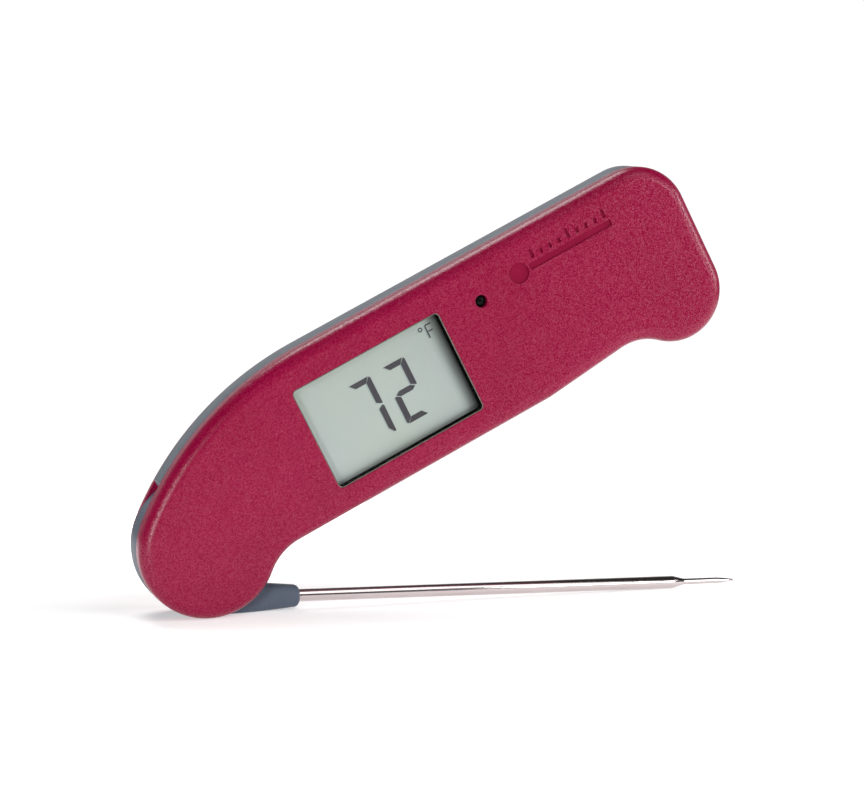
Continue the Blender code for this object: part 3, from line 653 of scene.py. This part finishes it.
def battery_jacket():
    """Plain dark battery jacket with a faint cloudy sheen and no print."""
    s = Shader("battery_jacket")
    fac = s.noise(300.0, 2.0)
    color = s.mix(s.scalar(fac, 0.0, 0.25), srgb(46, 48, 54), srgb(84, 86, 92))
    s.set(
        Base_Color=color, Metallic=0.35, Roughness=s.scalar(fac, 0.24, 0.36),
        Normal=s.bump(fac, 0.04, 0.0001)
    )
    return s.mat


MATS = {
    "maroon": maroon_plastic(),
    "mark": mark_shade_plastic(),
    "band": soft_grey("grey_band", srgb(88, 95, 104), srgb(96, 103, 112), 0.45, 0.25),
    "hub": soft_grey("hub_plastic", srgb(74, 82, 95), srgb(82, 90, 103), 0.42, 0.14),
    "steel": polished_steel(),
    "screw": screw_steel(),
    "clear": clear_window(),
    "lcd": lcd_panel(),
    "ink": plain("display_ink", srgb(74, 72, 76), srgb(78, 76, 80), 1500.0, 0.6, bump=0.0, specular=0.0),
    # Painted shadow: colour of a copy of the figures that stands for the shadow they cast on the display's
    # reflector.
    "figure_shadow_paint": plain(
        "painted_figure_shadow", srgb(160, 173, 171), srgb(166, 178, 176), 900.0, 0.5, metallic=0.5, bump=0.02
    ),
    "black": plain("black_rubber", grey(0.002), grey(0.004), 300.0, 0.6, bump=0.0, specular=0.0),
    "lens_rim": plain("lens_rim", srgb(96, 96, 86), srgb(112, 112, 100), 900.0, 0.25),
    "rubber": plain("seal_rubber", grey(0.012), grey(0.03), 1500.0, 0.7, bump=0.2),
    "contact": plain("contact_rubber", (0.4, 0.16, 0.16), (0.5, 0.22, 0.22), 1500.0, 0.6),
    "white": plain("white_plastic", (0.72, 0.72, 0.70), (0.8, 0.8, 0.78), 800.0, 0.45),
    "board": board_laminate(),
    "chip": plain("chip_resin", (0.02, 0.02, 0.022), (0.04, 0.04, 0.042), 2200.0, 0.5),
    "smoke": plain("smoked_plastic", grey(0.003), grey(0.006), 600.0, 0.15, bump=0.0, specular=0.1),
    "battery": battery_jacket(),
    "wire": plain("wire_sleeve", srgb(150, 98, 40), srgb(170, 116, 52), 1500.0, 0.5),
}


# ---------------------------------------------------------------- case

def mark_pieces(y0, y1):
    """Generic thermometer sign as thin solids: bulb, stem and scale lines."""
    pieces = [
        rod("mark_bulb", MARK_BULB_R, y0, y1, HANDLE, MARK_BULB_UV),
        plate("mark_stem", rectangle(MARK_STEM_UV, MARK_STEM_SIZE, 0.2), y0, y1, HANDLE),
    ]
    u0, v0 = MARK_LINE_START
    for i in range(9):
        tall = 2.2 if i % 4 == 0 else 1.3
        shape = rectangle((u0 + MARK_LINE_PITCH * i, v0 + tall / 2), (0.8, tall), 0.3, 3)
        pieces.append(plate(f"mark_line_{i}", shape, y0, y1, HANDLE))
    return pieces


def make_front_shell():
    """Display side of the case, hollow, with its window, sensor opening and sunk mark."""
    profile = [(RIM_R, -PARTING_Y), (RIM_R * 0.3, -PARTING_Y - RIM_R * 0.3), (0.0, -PARTING_Y - RIM_R)]
    profile += fillet(0.0, FRONT_EDGE_R - HALF_DEPTH, FRONT_EDGE_R, -HALF_DEPTH, EDGE_STEPS)
    shell = case_solid("front_shell_skin", profile)
    window = rectangle(WINDOW_CENTRE, WINDOW_SIZE, WINDOW_CORNER_R, 8)
    tools = [
        bay(SHELL_WALL, -INNER_FACE_Y, 0.0),
        plate("cut_window", window, -12, -6, HANDLE),
        rod("cut_sensor", SENSOR_HOLE_R, -12, -6, HANDLE, SENSOR_UV),
        rod("cut_bore", TRUNNION_BORE_R, -TRUNNION_BORE_Y, 0, HANDLE),
        rod("cut_seal", SEAL_BORE_R, -SEAL_BORE_Y, 0, HANDLE),
    ]
    carve(shell, tools + mark_pieces(-12, MARK_FLOOR_Y))
    u0, v0 = WINDOW_CENTRE

    def by_window(u, v):
        return abs(u - u0) < WINDOW_SIZE[0] / 2 + 1 and abs(v - v0) < WINDOW_SIZE[1] / 2 + 1

    def by_sensor(u, v):
        return math.dist((u, v), SENSOR_UV) < SENSOR_HOLE_R + 0.5

    round_face_edges(shell, -HALF_DEPTH, 0.28, 3, by_window)
    round_face_edges(shell, -HALF_DEPTH, 0.18, 3, by_sensor)
    round_face_edges(shell, -HALF_DEPTH, 0.12, 2, lambda u, v: u > MARK_START_U)
    weight_normals(shell)
    dress(shell, "handle", MATS["maroon"], "maroon_plastic", "front_shell")
    # The sunk mark's floor is lined with a smoother plastic with less gloss; its darker colour is painted
    # shade of the recess.
    inlay = mark_pieces(MARK_FLOOR_Y - MARK_SKIN, MARK_FLOOR_Y + MARK_SKIN)
    joined("mark_floor", inlay, MATS["mark"], "maroon_plastic")


def make_rear_shell():
    """Back of the case, with the battery bay, the door's seat and the screw wells."""
    middle_u = (DOOR_U[0] + DOOR_U[1]) / 2
    door_size = (DOOR_U[1] - DOOR_U[0], 2 * DOOR_HALF_V)
    v_hole = (BATTERY_V - BAY_HALF_V, BATTERY_V + BAY_HALF_V)
    v_wall = (v_hole[0] - BAY_WALL, v_hole[1] + BAY_WALL)
    profile = [(RIM_R, PARTING_Y), (RIM_R * 0.3, PARTING_Y + RIM_R * 0.3), (0.0, PARTING_Y + RIM_R)]
    profile += fillet(0.0, HALF_DEPTH - REAR_EDGE_R, REAR_EDGE_R, HALF_DEPTH, EDGE_STEPS)
    profile = [(REAR_INSET + inset, y) for inset, y in profile]
    shell = case_solid("rear_shell_skin", profile)
    carve(shell, [bay(SHELL_WALL, 0.0, 6.0), bay(SHELL_WALL + 1.6, 0.0, INNER_FACE_Y)])
    seat = rectangle((middle_u, BATTERY_V), (door_size[0] + 2.6, door_size[1] + 2.6), DOOR_CORNER_R)
    bay_depth = (BAY_FLOOR_Y - 1, 6.2)
    button_depth = (BUTTON_BAY_FLOOR_Y - 1, 6.2)
    adds = [
        plate("door_seat", seat, 5.8, INNER_FACE_Y + 0.3, HANDLE),
        block("bay_box", (BAY_U[0] - BAY_WALL, BAY_U[1] + BAY_WALL), v_wall, bay_depth, HANDLE),
        block("button_box", (BUTTON_BAY_U[0] - BAY_WALL, BAY_U[0]), v_wall, button_depth, HANDLE),
    ]
    for place in CASE_SCREWS:
        adds.append(rod("post", 3.0, 1.2, INNER_FACE_Y + 0.3, HANDLE, place))
    for u in DOOR_SCREW_U:
        adds.append(rod("post", 2.2, 3.2, 6.2, HANDLE, (u, BATTERY_V)))
    carve(shell, adds, "UNION")
    recess = rectangle((middle_u, BATTERY_V), (door_size[0] + 0.36, door_size[1] + 0.36), DOOR_CORNER_R)
    cuts = [
        plate("cut_door", recess, DOOR_SHELF_Y, 12, HANDLE),
        block("cut_battery", BAY_U, v_hole, (BAY_FLOOR_Y, 12), HANDLE),
        block("cut_button", BUTTON_BAY_U, v_hole, (BUTTON_BAY_FLOOR_Y, 12), HANDLE),
        rod("cut_stem", 1.6, 0, 4, HANDLE, (BUTTON_U, BATTERY_V), 24),
        rod("cut_bore", TRUNNION_BORE_R, 0, TRUNNION_BORE_Y, HANDLE),
        rod("cut_seal", SEAL_BORE_R, 0, SEAL_BORE_Y, HANDLE),
    ]
    for place in CASE_SCREWS:
        cuts.append(rod("cut_screw", 1.3, 0, 12, HANDLE, place, 24))
        cuts.append(rod("cut_head", 2.2, 6.7, 12, HANDLE, place))
    for u in DOOR_SCREW_U:
        cuts.append(rod("cut_door_screw", 1.1, 4.0, 12, HANDLE, (u, BATTERY_V), 24))
    carve(shell, cuts)
    round_face_edges(shell, HALF_DEPTH, 0.2, 3)
    weight_normals(shell)
    dress(shell, "handle", MATS["maroon"], "maroon_plastic", "rear_shell")


def make_band():
    """Grey band round the case edge, its rims slightly rounded."""
    rim = 0.25
    profile = [(BAND_RECESS + rim, -BAND_HALF), (BAND_RECESS + rim * 0.3, -BAND_HALF + rim * 0.3)]
    profile += [(BAND_RECESS, -BAND_HALF + rim), (BAND_RECESS, BAND_HALF - rim)]
    profile += [(BAND_RECESS + rim * 0.3, BAND_HALF - rim * 0.3), (BAND_RECESS + rim, BAND_HALF)]
    band = case_solid("spine_band_skin", profile)
    cuts = [
        rod("cut_hub", HUB_CLEARANCE_R, -6, 6, HANDLE, steps=144),
        plate("cut_slot", slot_region(0.0), -6, 6, HANDLE),
        block("cut_start", (-30, BAND_START_U), (-30, 60), (-6, 6), HANDLE),
        bay(BAND_WALL, -5, 5),
    ]
    carve(band, cuts)
    shade(band.data)
    dress(band, "handle", MATS["band"], "grey_band", "spine_band")


# ---------------------------------------------------------------- display

def segment(points, y0, y1):
    """Thin display segment from its outline, relative to the window's centre."""
    u0, v0 = WINDOW_CENTRE
    return plate("segment", [(u0 + u, v0 + v) for u, v in points], y0, y1, HANDLE)


def digit_segments(left, lit):
    """Outlines of a seven-segment digit's lit bars; left is the digit cell's left edge."""
    right = left + DIGIT_WIDTH
    top = DIGIT_TOP
    bottom = DIGIT_BOTTOM
    post = 1.5
    bar = 1.35
    gap = 0.16
    middle = (top + bottom) / 2
    half = bar / 2
    low = middle - gap
    high = middle + gap
    shapes = {
        "top": (
            (left + 0.75, top), (right - 0.5, top),
            (right - post - 0.1, top - bar), (left + 2.0, top - bar)
        ),
        "upper_right": (
            (right - 0.3, top - 0.1), (right, top - 0.5), (right, high + 0.05), (right - 0.3, high),
            (right - post, high + half), (right - post, top - bar + 0.05)
        ),
        "middle": (
            (left + 0.6, middle), (left + post + 0.2, middle + half),
            (right - post - 0.2, middle + half), (right - 0.6, middle),
            (right - post - 0.1, middle - half), (left + post, middle - half)
        ),
        "lower_right": (
            (right - 0.3, low), (right, low - 0.35), (right - 0.05, bottom + 0.2),
            (right - 0.5, bottom + 0.1), (right - post, bottom + 1.5), (right - post, low - half)
        ),
        "lower_left": (
            (left + 0.3, low), (left + post, low - half), (left + post, bottom + bar - 0.05),
            (left + 0.35, bottom + 0.1), (left, bottom + 0.5), (left, low - 0.3)
        ),
        "bottom": (
            (left + 0.5, bottom), (right - 0.75, bottom),
            (right - 2.0, bottom + bar), (left + post + 0.1, bottom + bar)
        ),
    }
    return [shapes[name] for name in lit]


def unit_sign():
    """Small unit sign: outlines of its letter's bars, and the centre of its degree ring."""
    left = 16.05
    top = 11.0
    stroke = 0.32
    inner = left + stroke
    bars = [
        [(left, top - 0.35), (inner, top - 0.35), (inner, 7.6), (left, 7.6)],
        [(left + 0.15, top), (left + 1.75, top), (left + 1.75, top - stroke), (left + 0.15, top - stroke)],
        [(inner + 0.1, 9.35), (left + 1.6, 9.35), (left + 1.6, 9.05), (inner + 0.1, 9.05)],
    ]
    return bars, (14.85, 10.45)


def joined(name, pieces, mat, slot_name):
    """One piece from several separate thin solids."""
    bm = bmesh.new()
    for piece in pieces:
        mesh = piece.data.copy()
        mesh.transform(piece.matrix_world)
        bm.from_mesh(mesh)
        bpy.data.meshes.remove(mesh)
        bpy.data.objects.remove(piece, do_unlink=True)
    mesh = bpy.data.meshes.new(name)
    bm.to_mesh(mesh)
    bm.free()
    mesh.transform(HANDLE.inverted())
    obj = bpy.data.objects.new(name, mesh)
    bpy.context.scene.collection.objects.link(obj)
    obj.matrix_world = HANDLE
    dress(obj, "handle", mat, slot_name)


def display_figures(name, offset, y0, y1, mat):
    """Figures of the display as one piece, moved by an offset in the display's plane."""
    outlines = digit_segments(TENS_LEFT, ("top", "upper_right", "lower_right"))
    outlines += digit_segments(UNITS_LEFT, ("top", "upper_right", "middle", "lower_left", "bottom"))
    bars, ring_centre = unit_sign()
    outlines += bars
    du, dv = offset
    pieces = [segment([(u + du, v + dv) for u, v in points], y0, y1) for points in outlines]
    centre = (WINDOW_CENTRE[0] + ring_centre[0] + du, WINDOW_CENTRE[1] + ring_centre[1] + dv)
    profile = ((0.32, y1), (0.56, y1), (0.56, y0), (0.32, y0))
    pieces.append(turned("ring", profile, HANDLE, centre, steps=24, closed=True))
    joined(name, pieces, mat, "display_glass")


def make_display():
    """Clear lens in its rim, the dark wall behind it, the display panel, its figures and the light pipe."""
    rings = []
    for margin in (0.02, LIP, LIP + WALL_THICKNESS):
        size = (WINDOW_SIZE[0] - 2 * margin, WINDOW_SIZE[1] - 2 * margin)
        rings.append(rectangle(WINDOW_CENTRE, size, WINDOW_CORNER_R - margin, 8))
    outer, rim_inner, wall_inner = rings
    rim = plate("window_rim", outer, LENS_FRONT_Y, LENS_FRONT_Y + 0.3, HANDLE)
    carve(rim, [plate("rim_hole", rim_inner, -12, 0, HANDLE)])
    round_face_edges(rim, LENS_FRONT_Y, 0.07, 2)
    dress(rim, "handle", MATS["lens_rim"], "clear_window")
    wall = plate("window_wall", outer, LENS_FRONT_Y + 0.32, LCD_FRONT_Y - 0.1, HANDLE)
    carve(wall, [plate("wall_hole", wall_inner, -12, 0, HANDLE)])
    dress(wall, "handle", MATS["black"], "black_rubber", "lens_seal")

    lens = plate("lens_clear", wall_inner, LENS_FRONT_Y + 0.05, LENS_FRONT_Y + 0.15, HANDLE)
    dress(lens, "handle", MATS["clear"], "clear_window", "display_lens")

    glass = rectangle(WINDOW_CENTRE, GLASS_SIZE, 0.3, 3)
    panel = plate("lcd_panel_face", glass, LCD_FRONT_Y, LCD_FRONT_Y + 0.7, HANDLE, 0.08)
    dress(panel, "handle", MATS["lcd"], "display_glass", "lcd_front_glass")
    display_figures("lcd_figures", (0.0, 0.0), LCD_FRONT_Y - 0.06, LCD_FRONT_Y - 0.03, MATS["ink"])
    # A copy of the figures, a little to their left and just behind them, in a colour a little darker than
    # the panel, paints the shadow they cast on the display's reflector.
    shadow_depth = (LCD_FRONT_Y - 0.02, LCD_FRONT_Y - 0.005)
    display_figures("lcd_figure_shadows", FIGURE_SHADOW_OFFSET, *shadow_depth, MATS["figure_shadow_paint"])

    profile = ((0.0, -6.4), (1.4, -6.4), (1.4, -8.1), (1.1, -8.35), (0.5, -8.5), (0.0, -8.52))
    pipe = turned("light_pipe_tip", profile, HANDLE, SENSOR_UV, steps=40)
    dress(pipe, "handle", MATS["smoke"], "smoked_plastic", "light_pipe")


# ---------------------------------------------------------------- back

# Seat depth, head depth, head radius, shank length and shank radius
CASE_SCREW = (7.0, 1.2, 1.9, 12.5, 0.9)
DOOR_SCREW = (8.7, 0.65, 1.7, 4.2, 0.8)


def make_screw(name, body, place, sizes, node):
    """Cross-head screw with a domed, chamfered head."""
    seat_y, head_depth, head_r, length, shank_r = sizes
    top = seat_y + head_depth
    profile = [(0.0, top), (head_r * 0.6, top - 0.03), (head_r - 0.3, top - 0.08)]
    profile += [(head_r - 0.08, top - 0.22), (head_r, top - 0.4), (head_r, seat_y)]
    profile += [(shank_r, seat_y), (shank_r, seat_y - length + 0.5), (0.0, seat_y - length)]
    screw = turned(name, profile, HANDLE, place, steps=40)
    u, v = place
    long_half = head_r * 0.62
    short_half = head_r * 0.15
    depth = (top - head_depth * 0.6, top + 1)
    cuts = []
    for half_u, half_v in ((long_half, short_half), (short_half, long_half)):
        cuts.append(block("cross", (u - half_u, u + half_u), (v - half_v, v + half_v), depth, HANDLE))
    carve(screw, cuts)
    shade(screw.data)
    dress(screw, body, MATS["screw"], "screw_steel", node)


def make_door():
    """Battery door with rounded rims, sunk grip lines and screw wells."""
    middle_u = (DOOR_U[0] + DOOR_U[1]) / 2
    length = DOOR_U[1] - DOOR_U[0]
    shape = rectangle((middle_u, BATTERY_V), (length, 2 * DOOR_HALF_V), DOOR_CORNER_R - 0.2, 8)
    door = plate("battery_door_skin", shape, DOOR_INNER_Y, HALF_DEPTH, HANDLE)
    cuts = []
    for u in DOOR_SCREW_U:
        cuts.append(rod("door_clear", 1.1, 5, 12, HANDLE, (u, BATTERY_V), 32))
        cuts.append(rod("door_sink", 1.95, 8.45, 12, HANDLE, (u, BATTERY_V)))
    for i in range(5):
        u = middle_u + (i - 2) * 2.2
        grip = rectangle((u, BATTERY_V), (0.9, 8.0), 0.44, 5)
        cuts.append(plate("door_grip", grip, 9.05, 12, HANDLE))
    carve(door, cuts)
    round_face_edges(door, HALF_DEPTH, 0.18, 3)
    weight_normals(door)
    dress(door, "battery_door", MATS["maroon"], "maroon_plastic", "battery_door")
    for i, u in enumerate(DOOR_SCREW_U, 1):
        make_screw(f"door_screw_head_{i}", "battery_door", (u, BATTERY_V), DOOR_SCREW, f"door_screw_{i}")


def make_battery():
    """Battery with a crimped jacket edge and a raised plus button."""
    end = BATTERY_U + BATTERY_LENGTH
    radius = BATTERY_R
    profile = [(0.0, end), (1.7, end), (1.9, end - 0.2), (1.9, end - 0.8), (radius - 0.9, end - 0.8)]
    profile += [(radius - 0.6, end - 0.65), (radius - 0.2, end - 0.75), (radius, end - 1.1)]
    profile += [(radius, BATTERY_U + 0.4), (radius - 0.15, BATTERY_U + 0.1), (radius - 0.5, BATTERY_U)]
    profile += [(0.0, BATTERY_U)]
    battery = turned("battery_body", profile, HANDLE, (BATTERY_Y, BATTERY_V), "X", steps=72)
    dress(battery, "handle", MATS["battery"], "battery_jacket", "battery_cell")


def make_button():
    """Settings button with a dished top."""
    floor = BUTTON_BAY_FLOOR_Y
    profile = [(0.0, floor + 2.2), (0.9, floor + 2.25), (1.5, floor + 2.38), (1.8, floor + 2.4)]
    profile += [(2.05, floor + 2.32), (2.2, floor + 2.1), (2.2, floor + 0.8), (1.2, floor + 0.8)]
    profile += [(1.2, floor - 1.5), (0.0, floor - 1.5)]
    button = turned("settings_button_cap", profile, HANDLE, (BUTTON_U, BATTERY_V), steps=48)
    dress(button, "settings_button", MATS["band"], "grey_band", "settings_button")


# ---------------------------------------------------------------- probe

def make_hub():
    """Hub disc with its trunnions and the tapered boot."""
    rim = 0.4
    disc = [(0.0, 7.2), (4.2, 7.2), (4.5, 6.9), (4.5, HUB_HALF)]
    disc += [(HUB_R - inset, y) for inset, y in reversed(fillet(0.0, HUB_HALF - rim, rim, HUB_HALF, 5))]
    disc += [(HUB_R - inset, y) for inset, y in fillet(0.0, rim - HUB_HALF, rim, -HUB_HALF, 5)]
    disc += [(4.5, -HUB_HALF), (4.5, -5.4), (0.0, -5.4)]
    hub = turned("probe_hub_skin", disc, PROBE, steps=180)

    end_r = 1.1
    straight_end = BOOT_END_S - end_r
    stations = [(s, 0.0) for s in (0.5, 6.0, 12.0, 18.0, straight_end)]
    for degrees in (18.0, 36.0, 54.0, 72.0, 90.0):
        angle = math.radians(degrees)
        stations.append((straight_end + end_r * math.sin(angle), end_r * (1 - math.cos(angle))))
    rings = []
    for s, inset in stations:
        share = s / BOOT_END_S
        half_n = BOOT_ROOT_HALF + (BOOT_END_HALF - BOOT_ROOT_HALF) * share - inset
        half_y = 3.1 - 0.45 * share - inset
        corner = min(1.9 + 0.3 * share, half_y - 0.05, half_n - 0.05)
        section = rectangle((0.0, 0.0), (2 * half_y, 2 * half_n), corner)
        rings.append([(s, y, n - PROBE_OFFSET) for y, n in section])
    boot = loft("boot", rings, PROBE)
    under = block("boot_trim", (-5, 14), (-HUB_R - 5, -HUB_R), (-5, 5), PROBE)
    carve(boot, [under])
    carve(hub, [boot], "UNION")
    bore_r = SHAFT_R + 0.06
    bore = ((0.0, 25.0), (bore_r, 25.0), (bore_r, 10.2), (0.0, 10.2))
    carve(hub, [turned("bore", bore, PROBE, (0.0, -PROBE_OFFSET), "X")])
    shade(hub.data, 40.0)
    dress(hub, "probe", MATS["hub"], "hub_plastic", "probe_hub")


def make_probe():
    """Polished probe tube with its stepped, pointed tip."""
    tip_r = 0.7
    neck_end = NECK_S + NECK_LENGTH
    profile = [(0.0, TIP_S), (0.1, TIP_S - 0.05), (0.2, TIP_S - 0.3), (0.4, TIP_S - 1.6)]
    profile += [(0.6, TIP_S - 3.2), (tip_r, TIP_S - 4.6), (tip_r, neck_end)]
    profile += [(tip_r + 0.06, neck_end - 0.3), (SHAFT_R - 0.1, NECK_S + 0.3), (SHAFT_R, NECK_S)]
    profile += [(SHAFT_R, 11.0), (0.8, 11.0), (0.8, NECK_S - 4.0), (0.0, NECK_S - 3.0)]
    tube = turned("probe_tube", profile, PROBE, (0.0, -PROBE_OFFSET), "X", steps=96)
    dress(tube, "probe", MATS["steel"], "polished_steel", "probe_shaft")


# ---------------------------------------------------------------- the CAD nodes that show as they are

KEPT = {
    "rubber": ("case_seal_front", "case_seal_rear", "hub_seal_front", "hub_seal_rear", "door_gasket"),
    "contact": ("contact_strip_upper", "contact_strip_lower"),
    "black": ("lcd_holder",),
    "white": ("backlight_panel",),
    "lcd": ("lcd_rear_glass",),
    "board": ("main_board",),
    "chip": (
        "processor_chip", "converter_chip", "motion_sensor_chip", "light_sensor_chip", "settings_switch"
    ),
    "wire": ("thermocouple_wire", "thermocouple_lead"),
    "screw": (
        "battery_spring", "battery_plus_contact", "friction_washer", "board_screw_1", "board_screw_2"
    ),
}


def dress_kept_nodes():
    """Give the inner CAD pieces their finished materials."""
    for finish, names in KEPT.items():
        for name in names:
            mesh = frame["nodes"][name].data
            mesh.materials.clear()
            mesh.materials.append(MATS[finish])


# ---------------------------------------------------------------- studio

CAMERA_AZIMUTH = 16.77
CAMERA_ELEVATION = 6.33
CAMERA_LENS = 119.5
# From the window's centre to the camera, in its own right, up and back directions
CAMERA_OFFSET = (9.99, 0.69, 669.9)
STUDIO_CENTRE = (0.0, 0.0, 0.05)
FLOOR_MIDDLE = (0.0, -0.07, 0.0)
FLOOR_SCALE = (0.9, 0.46, 1.0)
# Name, size, location, point aimed at and power
LAMPS = (
    ("key_box", (0.5, 0.6), (0.30, -0.50, 0.70), STUDIO_CENTRE, 1.9),
    ("left_strip", (0.11, 0.26), (-0.62, -0.78, 0.18), (0.0, 0.0, 0.06), 5.0),
    ("right_box", (0.25, 0.30), (0.62, -0.77, 0.26), STUDIO_CENTRE, 2.5),
    ("side_box", (0.25, 0.40), (0.95, -0.30, 0.25), STUDIO_CENTRE, 4.2),
    ("back_box", (0.4, 0.5), (-0.12, 0.42, 0.82), STUDIO_CENTRE, 5.2),
)
# Share of the world's light at each height of its direction, 0 level and 1 straight up
SKY_STOPS = ((0.0, 0.25), (0.10, 0.5), (0.22, 1.0), (0.34, 1.0), (0.55, 0.12))
SKY_FRONT = 0.15
SKY_BACK = 0.9
BACKDROP_STRENGTH = 1.05


def area_light(name, size, location, target, energy):
    """Soft rectangular lamp aimed at a point."""
    data = bpy.data.lights.new(name, "AREA")
    data.shape = "RECTANGLE"
    data.size, data.size_y = size
    data.energy = energy
    lamp = bpy.data.objects.new(name, data)
    bpy.context.scene.collection.objects.link(lamp)
    lamp.location = location
    lamp.rotation_euler = (Vector(target) - Vector(location)).to_track_quat("-Z", "Y").to_euler()
    lamp.visible_camera = False


def studio_world():
    """White backdrop; the light it gives is stronger from behind and weaker from above."""
    world = bpy.data.worlds.new("studio")
    bpy.context.scene.world = world
    world.use_nodes = True
    tree = world.node_tree
    lit = tree.nodes["Background"]
    direction = tree.nodes.new("ShaderNodeTexCoord").outputs["Generated"]
    split = tree.nodes.new("ShaderNodeSeparateXYZ")
    tree.links.new(direction, split.inputs["Vector"])
    depth = tree.nodes.new("ShaderNodeMapRange")
    height = tree.nodes.new("ShaderNodeValToRGB")
    tree.links.new(split.outputs["Y"], depth.inputs["Value"])
    depth.inputs["To Min"].default_value = SKY_FRONT
    depth.inputs["To Max"].default_value = SKY_BACK
    tree.links.new(split.outputs["Z"], height.inputs["Fac"])
    elements = height.color_ramp.elements
    while len(elements) < len(SKY_STOPS):
        elements.new(0.5)
    for element, (position, share) in zip(elements, SKY_STOPS):
        element.position = position
        element.color = (*grey(share), 1.0)
    product = tree.nodes.new("ShaderNodeMath")
    product.operation = "MULTIPLY"
    tree.links.new(depth.outputs["Result"], product.inputs[0])
    tree.links.new(height.outputs["Color"], product.inputs[1])
    tree.links.new(product.outputs["Value"], lit.inputs["Strength"])
    shown = tree.nodes.new("ShaderNodeBackground")
    shown.inputs["Strength"].default_value = BACKDROP_STRENGTH
    mix = tree.nodes.new("ShaderNodeMixShader")
    tree.links.new(tree.nodes.new("ShaderNodeLightPath").outputs["Is Camera Ray"], mix.inputs["Fac"])
    tree.links.new(lit.outputs["Background"], mix.inputs[1])
    tree.links.new(shown.outputs["Background"], mix.inputs[2])
    tree.links.new(mix.outputs["Shader"], tree.nodes["World Output"].inputs["Surface"])
    for node in (lit, shown):
        node.inputs["Color"].default_value = (1.0, 1.0, 1.0, 1.0)


def make_studio():
    """Pale floor that glows as painted light, less just behind the object than in front of it, further back
    and towards its edge; white surroundings and soft lamps.
    """
    bpy.ops.mesh.primitive_plane_add(size=1.0, location=FLOOR_MIDDLE)
    floor = bpy.context.object
    floor.scale = FLOOR_SCALE
    floor.name = "studio_floor"
    s = Shader("studio_floor")
    place = s.node("ShaderNodeNewGeometry").outputs["Position"]
    depth = s.node("ShaderNodeSeparateXYZ", {"Vector": place}).outputs["Y"]
    distance = s.node("ShaderNodeVectorMath", {0: place}, operation="LENGTH").outputs["Value"]
    # Painted light: the floor's glow is weakest just behind the object and strongest in front of it,
    # further back and towards its edge.
    near_glow = s.ramp(
        s.scalar(depth, 0.0, 1.0, -0.05, 0.10),
        (0.13, grey(0.63)), (0.41, grey(0.29)), (0.53, grey(0.31)), (0.66, grey(0.72))
    )
    edge_glow = s.scalar(distance, 0.0, 0.6, 0.10, 0.20)
    glow = s.node("ShaderNodeMath", {0: near_glow, 1: edge_glow}, operation="ADD").outputs["Value"]
    s.set(
        Base_Color=s.ramp(s.noise(3.0), (0.3, grey(0.80)), (0.7, grey(0.82))), Roughness=0.9,
        Specular_IOR_Level=0.0, Emission_Color=(1.0, 1.0, 1.0, 1.0), Emission_Strength=glow
    )
    floor.data.materials.append(s.mat)
    studio_world()
    for lamp in LAMPS:
        area_light(*lamp)


def make_camera():
    """Camera in front of the display, a little to its left and above."""
    azimuth = math.radians(CAMERA_AZIMUTH)
    elevation = math.radians(CAMERA_ELEVATION)
    right = Vector((math.cos(azimuth), -math.sin(azimuth), 0.0))
    tilt = math.sin(elevation)
    up = Vector((math.sin(azimuth) * tilt, math.cos(azimuth) * tilt, math.cos(elevation)))
    back = right.cross(up)
    window = HANDLE @ (Vector((WINDOW_CENTRE[0], -HALF_DEPTH, WINDOW_CENTRE[1])) * MM)
    data = bpy.data.cameras.new("camera")
    data.lens = CAMERA_LENS
    data.sensor_width = 36.0
    camera = bpy.data.objects.new("camera", data)
    bpy.context.scene.collection.objects.link(camera)
    rotation = Matrix((right, up, back)).transposed().to_4x4()
    offset = CAMERA_OFFSET[0] * right + CAMERA_OFFSET[1] * up + CAMERA_OFFSET[2] * back
    location = window + offset * MM
    camera.matrix_world = Matrix.Translation(location) @ rotation
    bpy.context.scene.camera = camera


make_camera()
make_front_shell()
make_rear_shell()
make_band()
make_display()
for number, screw_place in enumerate(CASE_SCREWS, 1):
    make_screw(f"case_screw_head_{number}", "handle", screw_place, CASE_SCREW, f"case_screw_{number}")
make_battery()
make_door()
make_button()
make_hub()
make_probe()
dress_kept_nodes()
make_studio()
bpy.context.scene.view_settings.view_transform = "Standard"
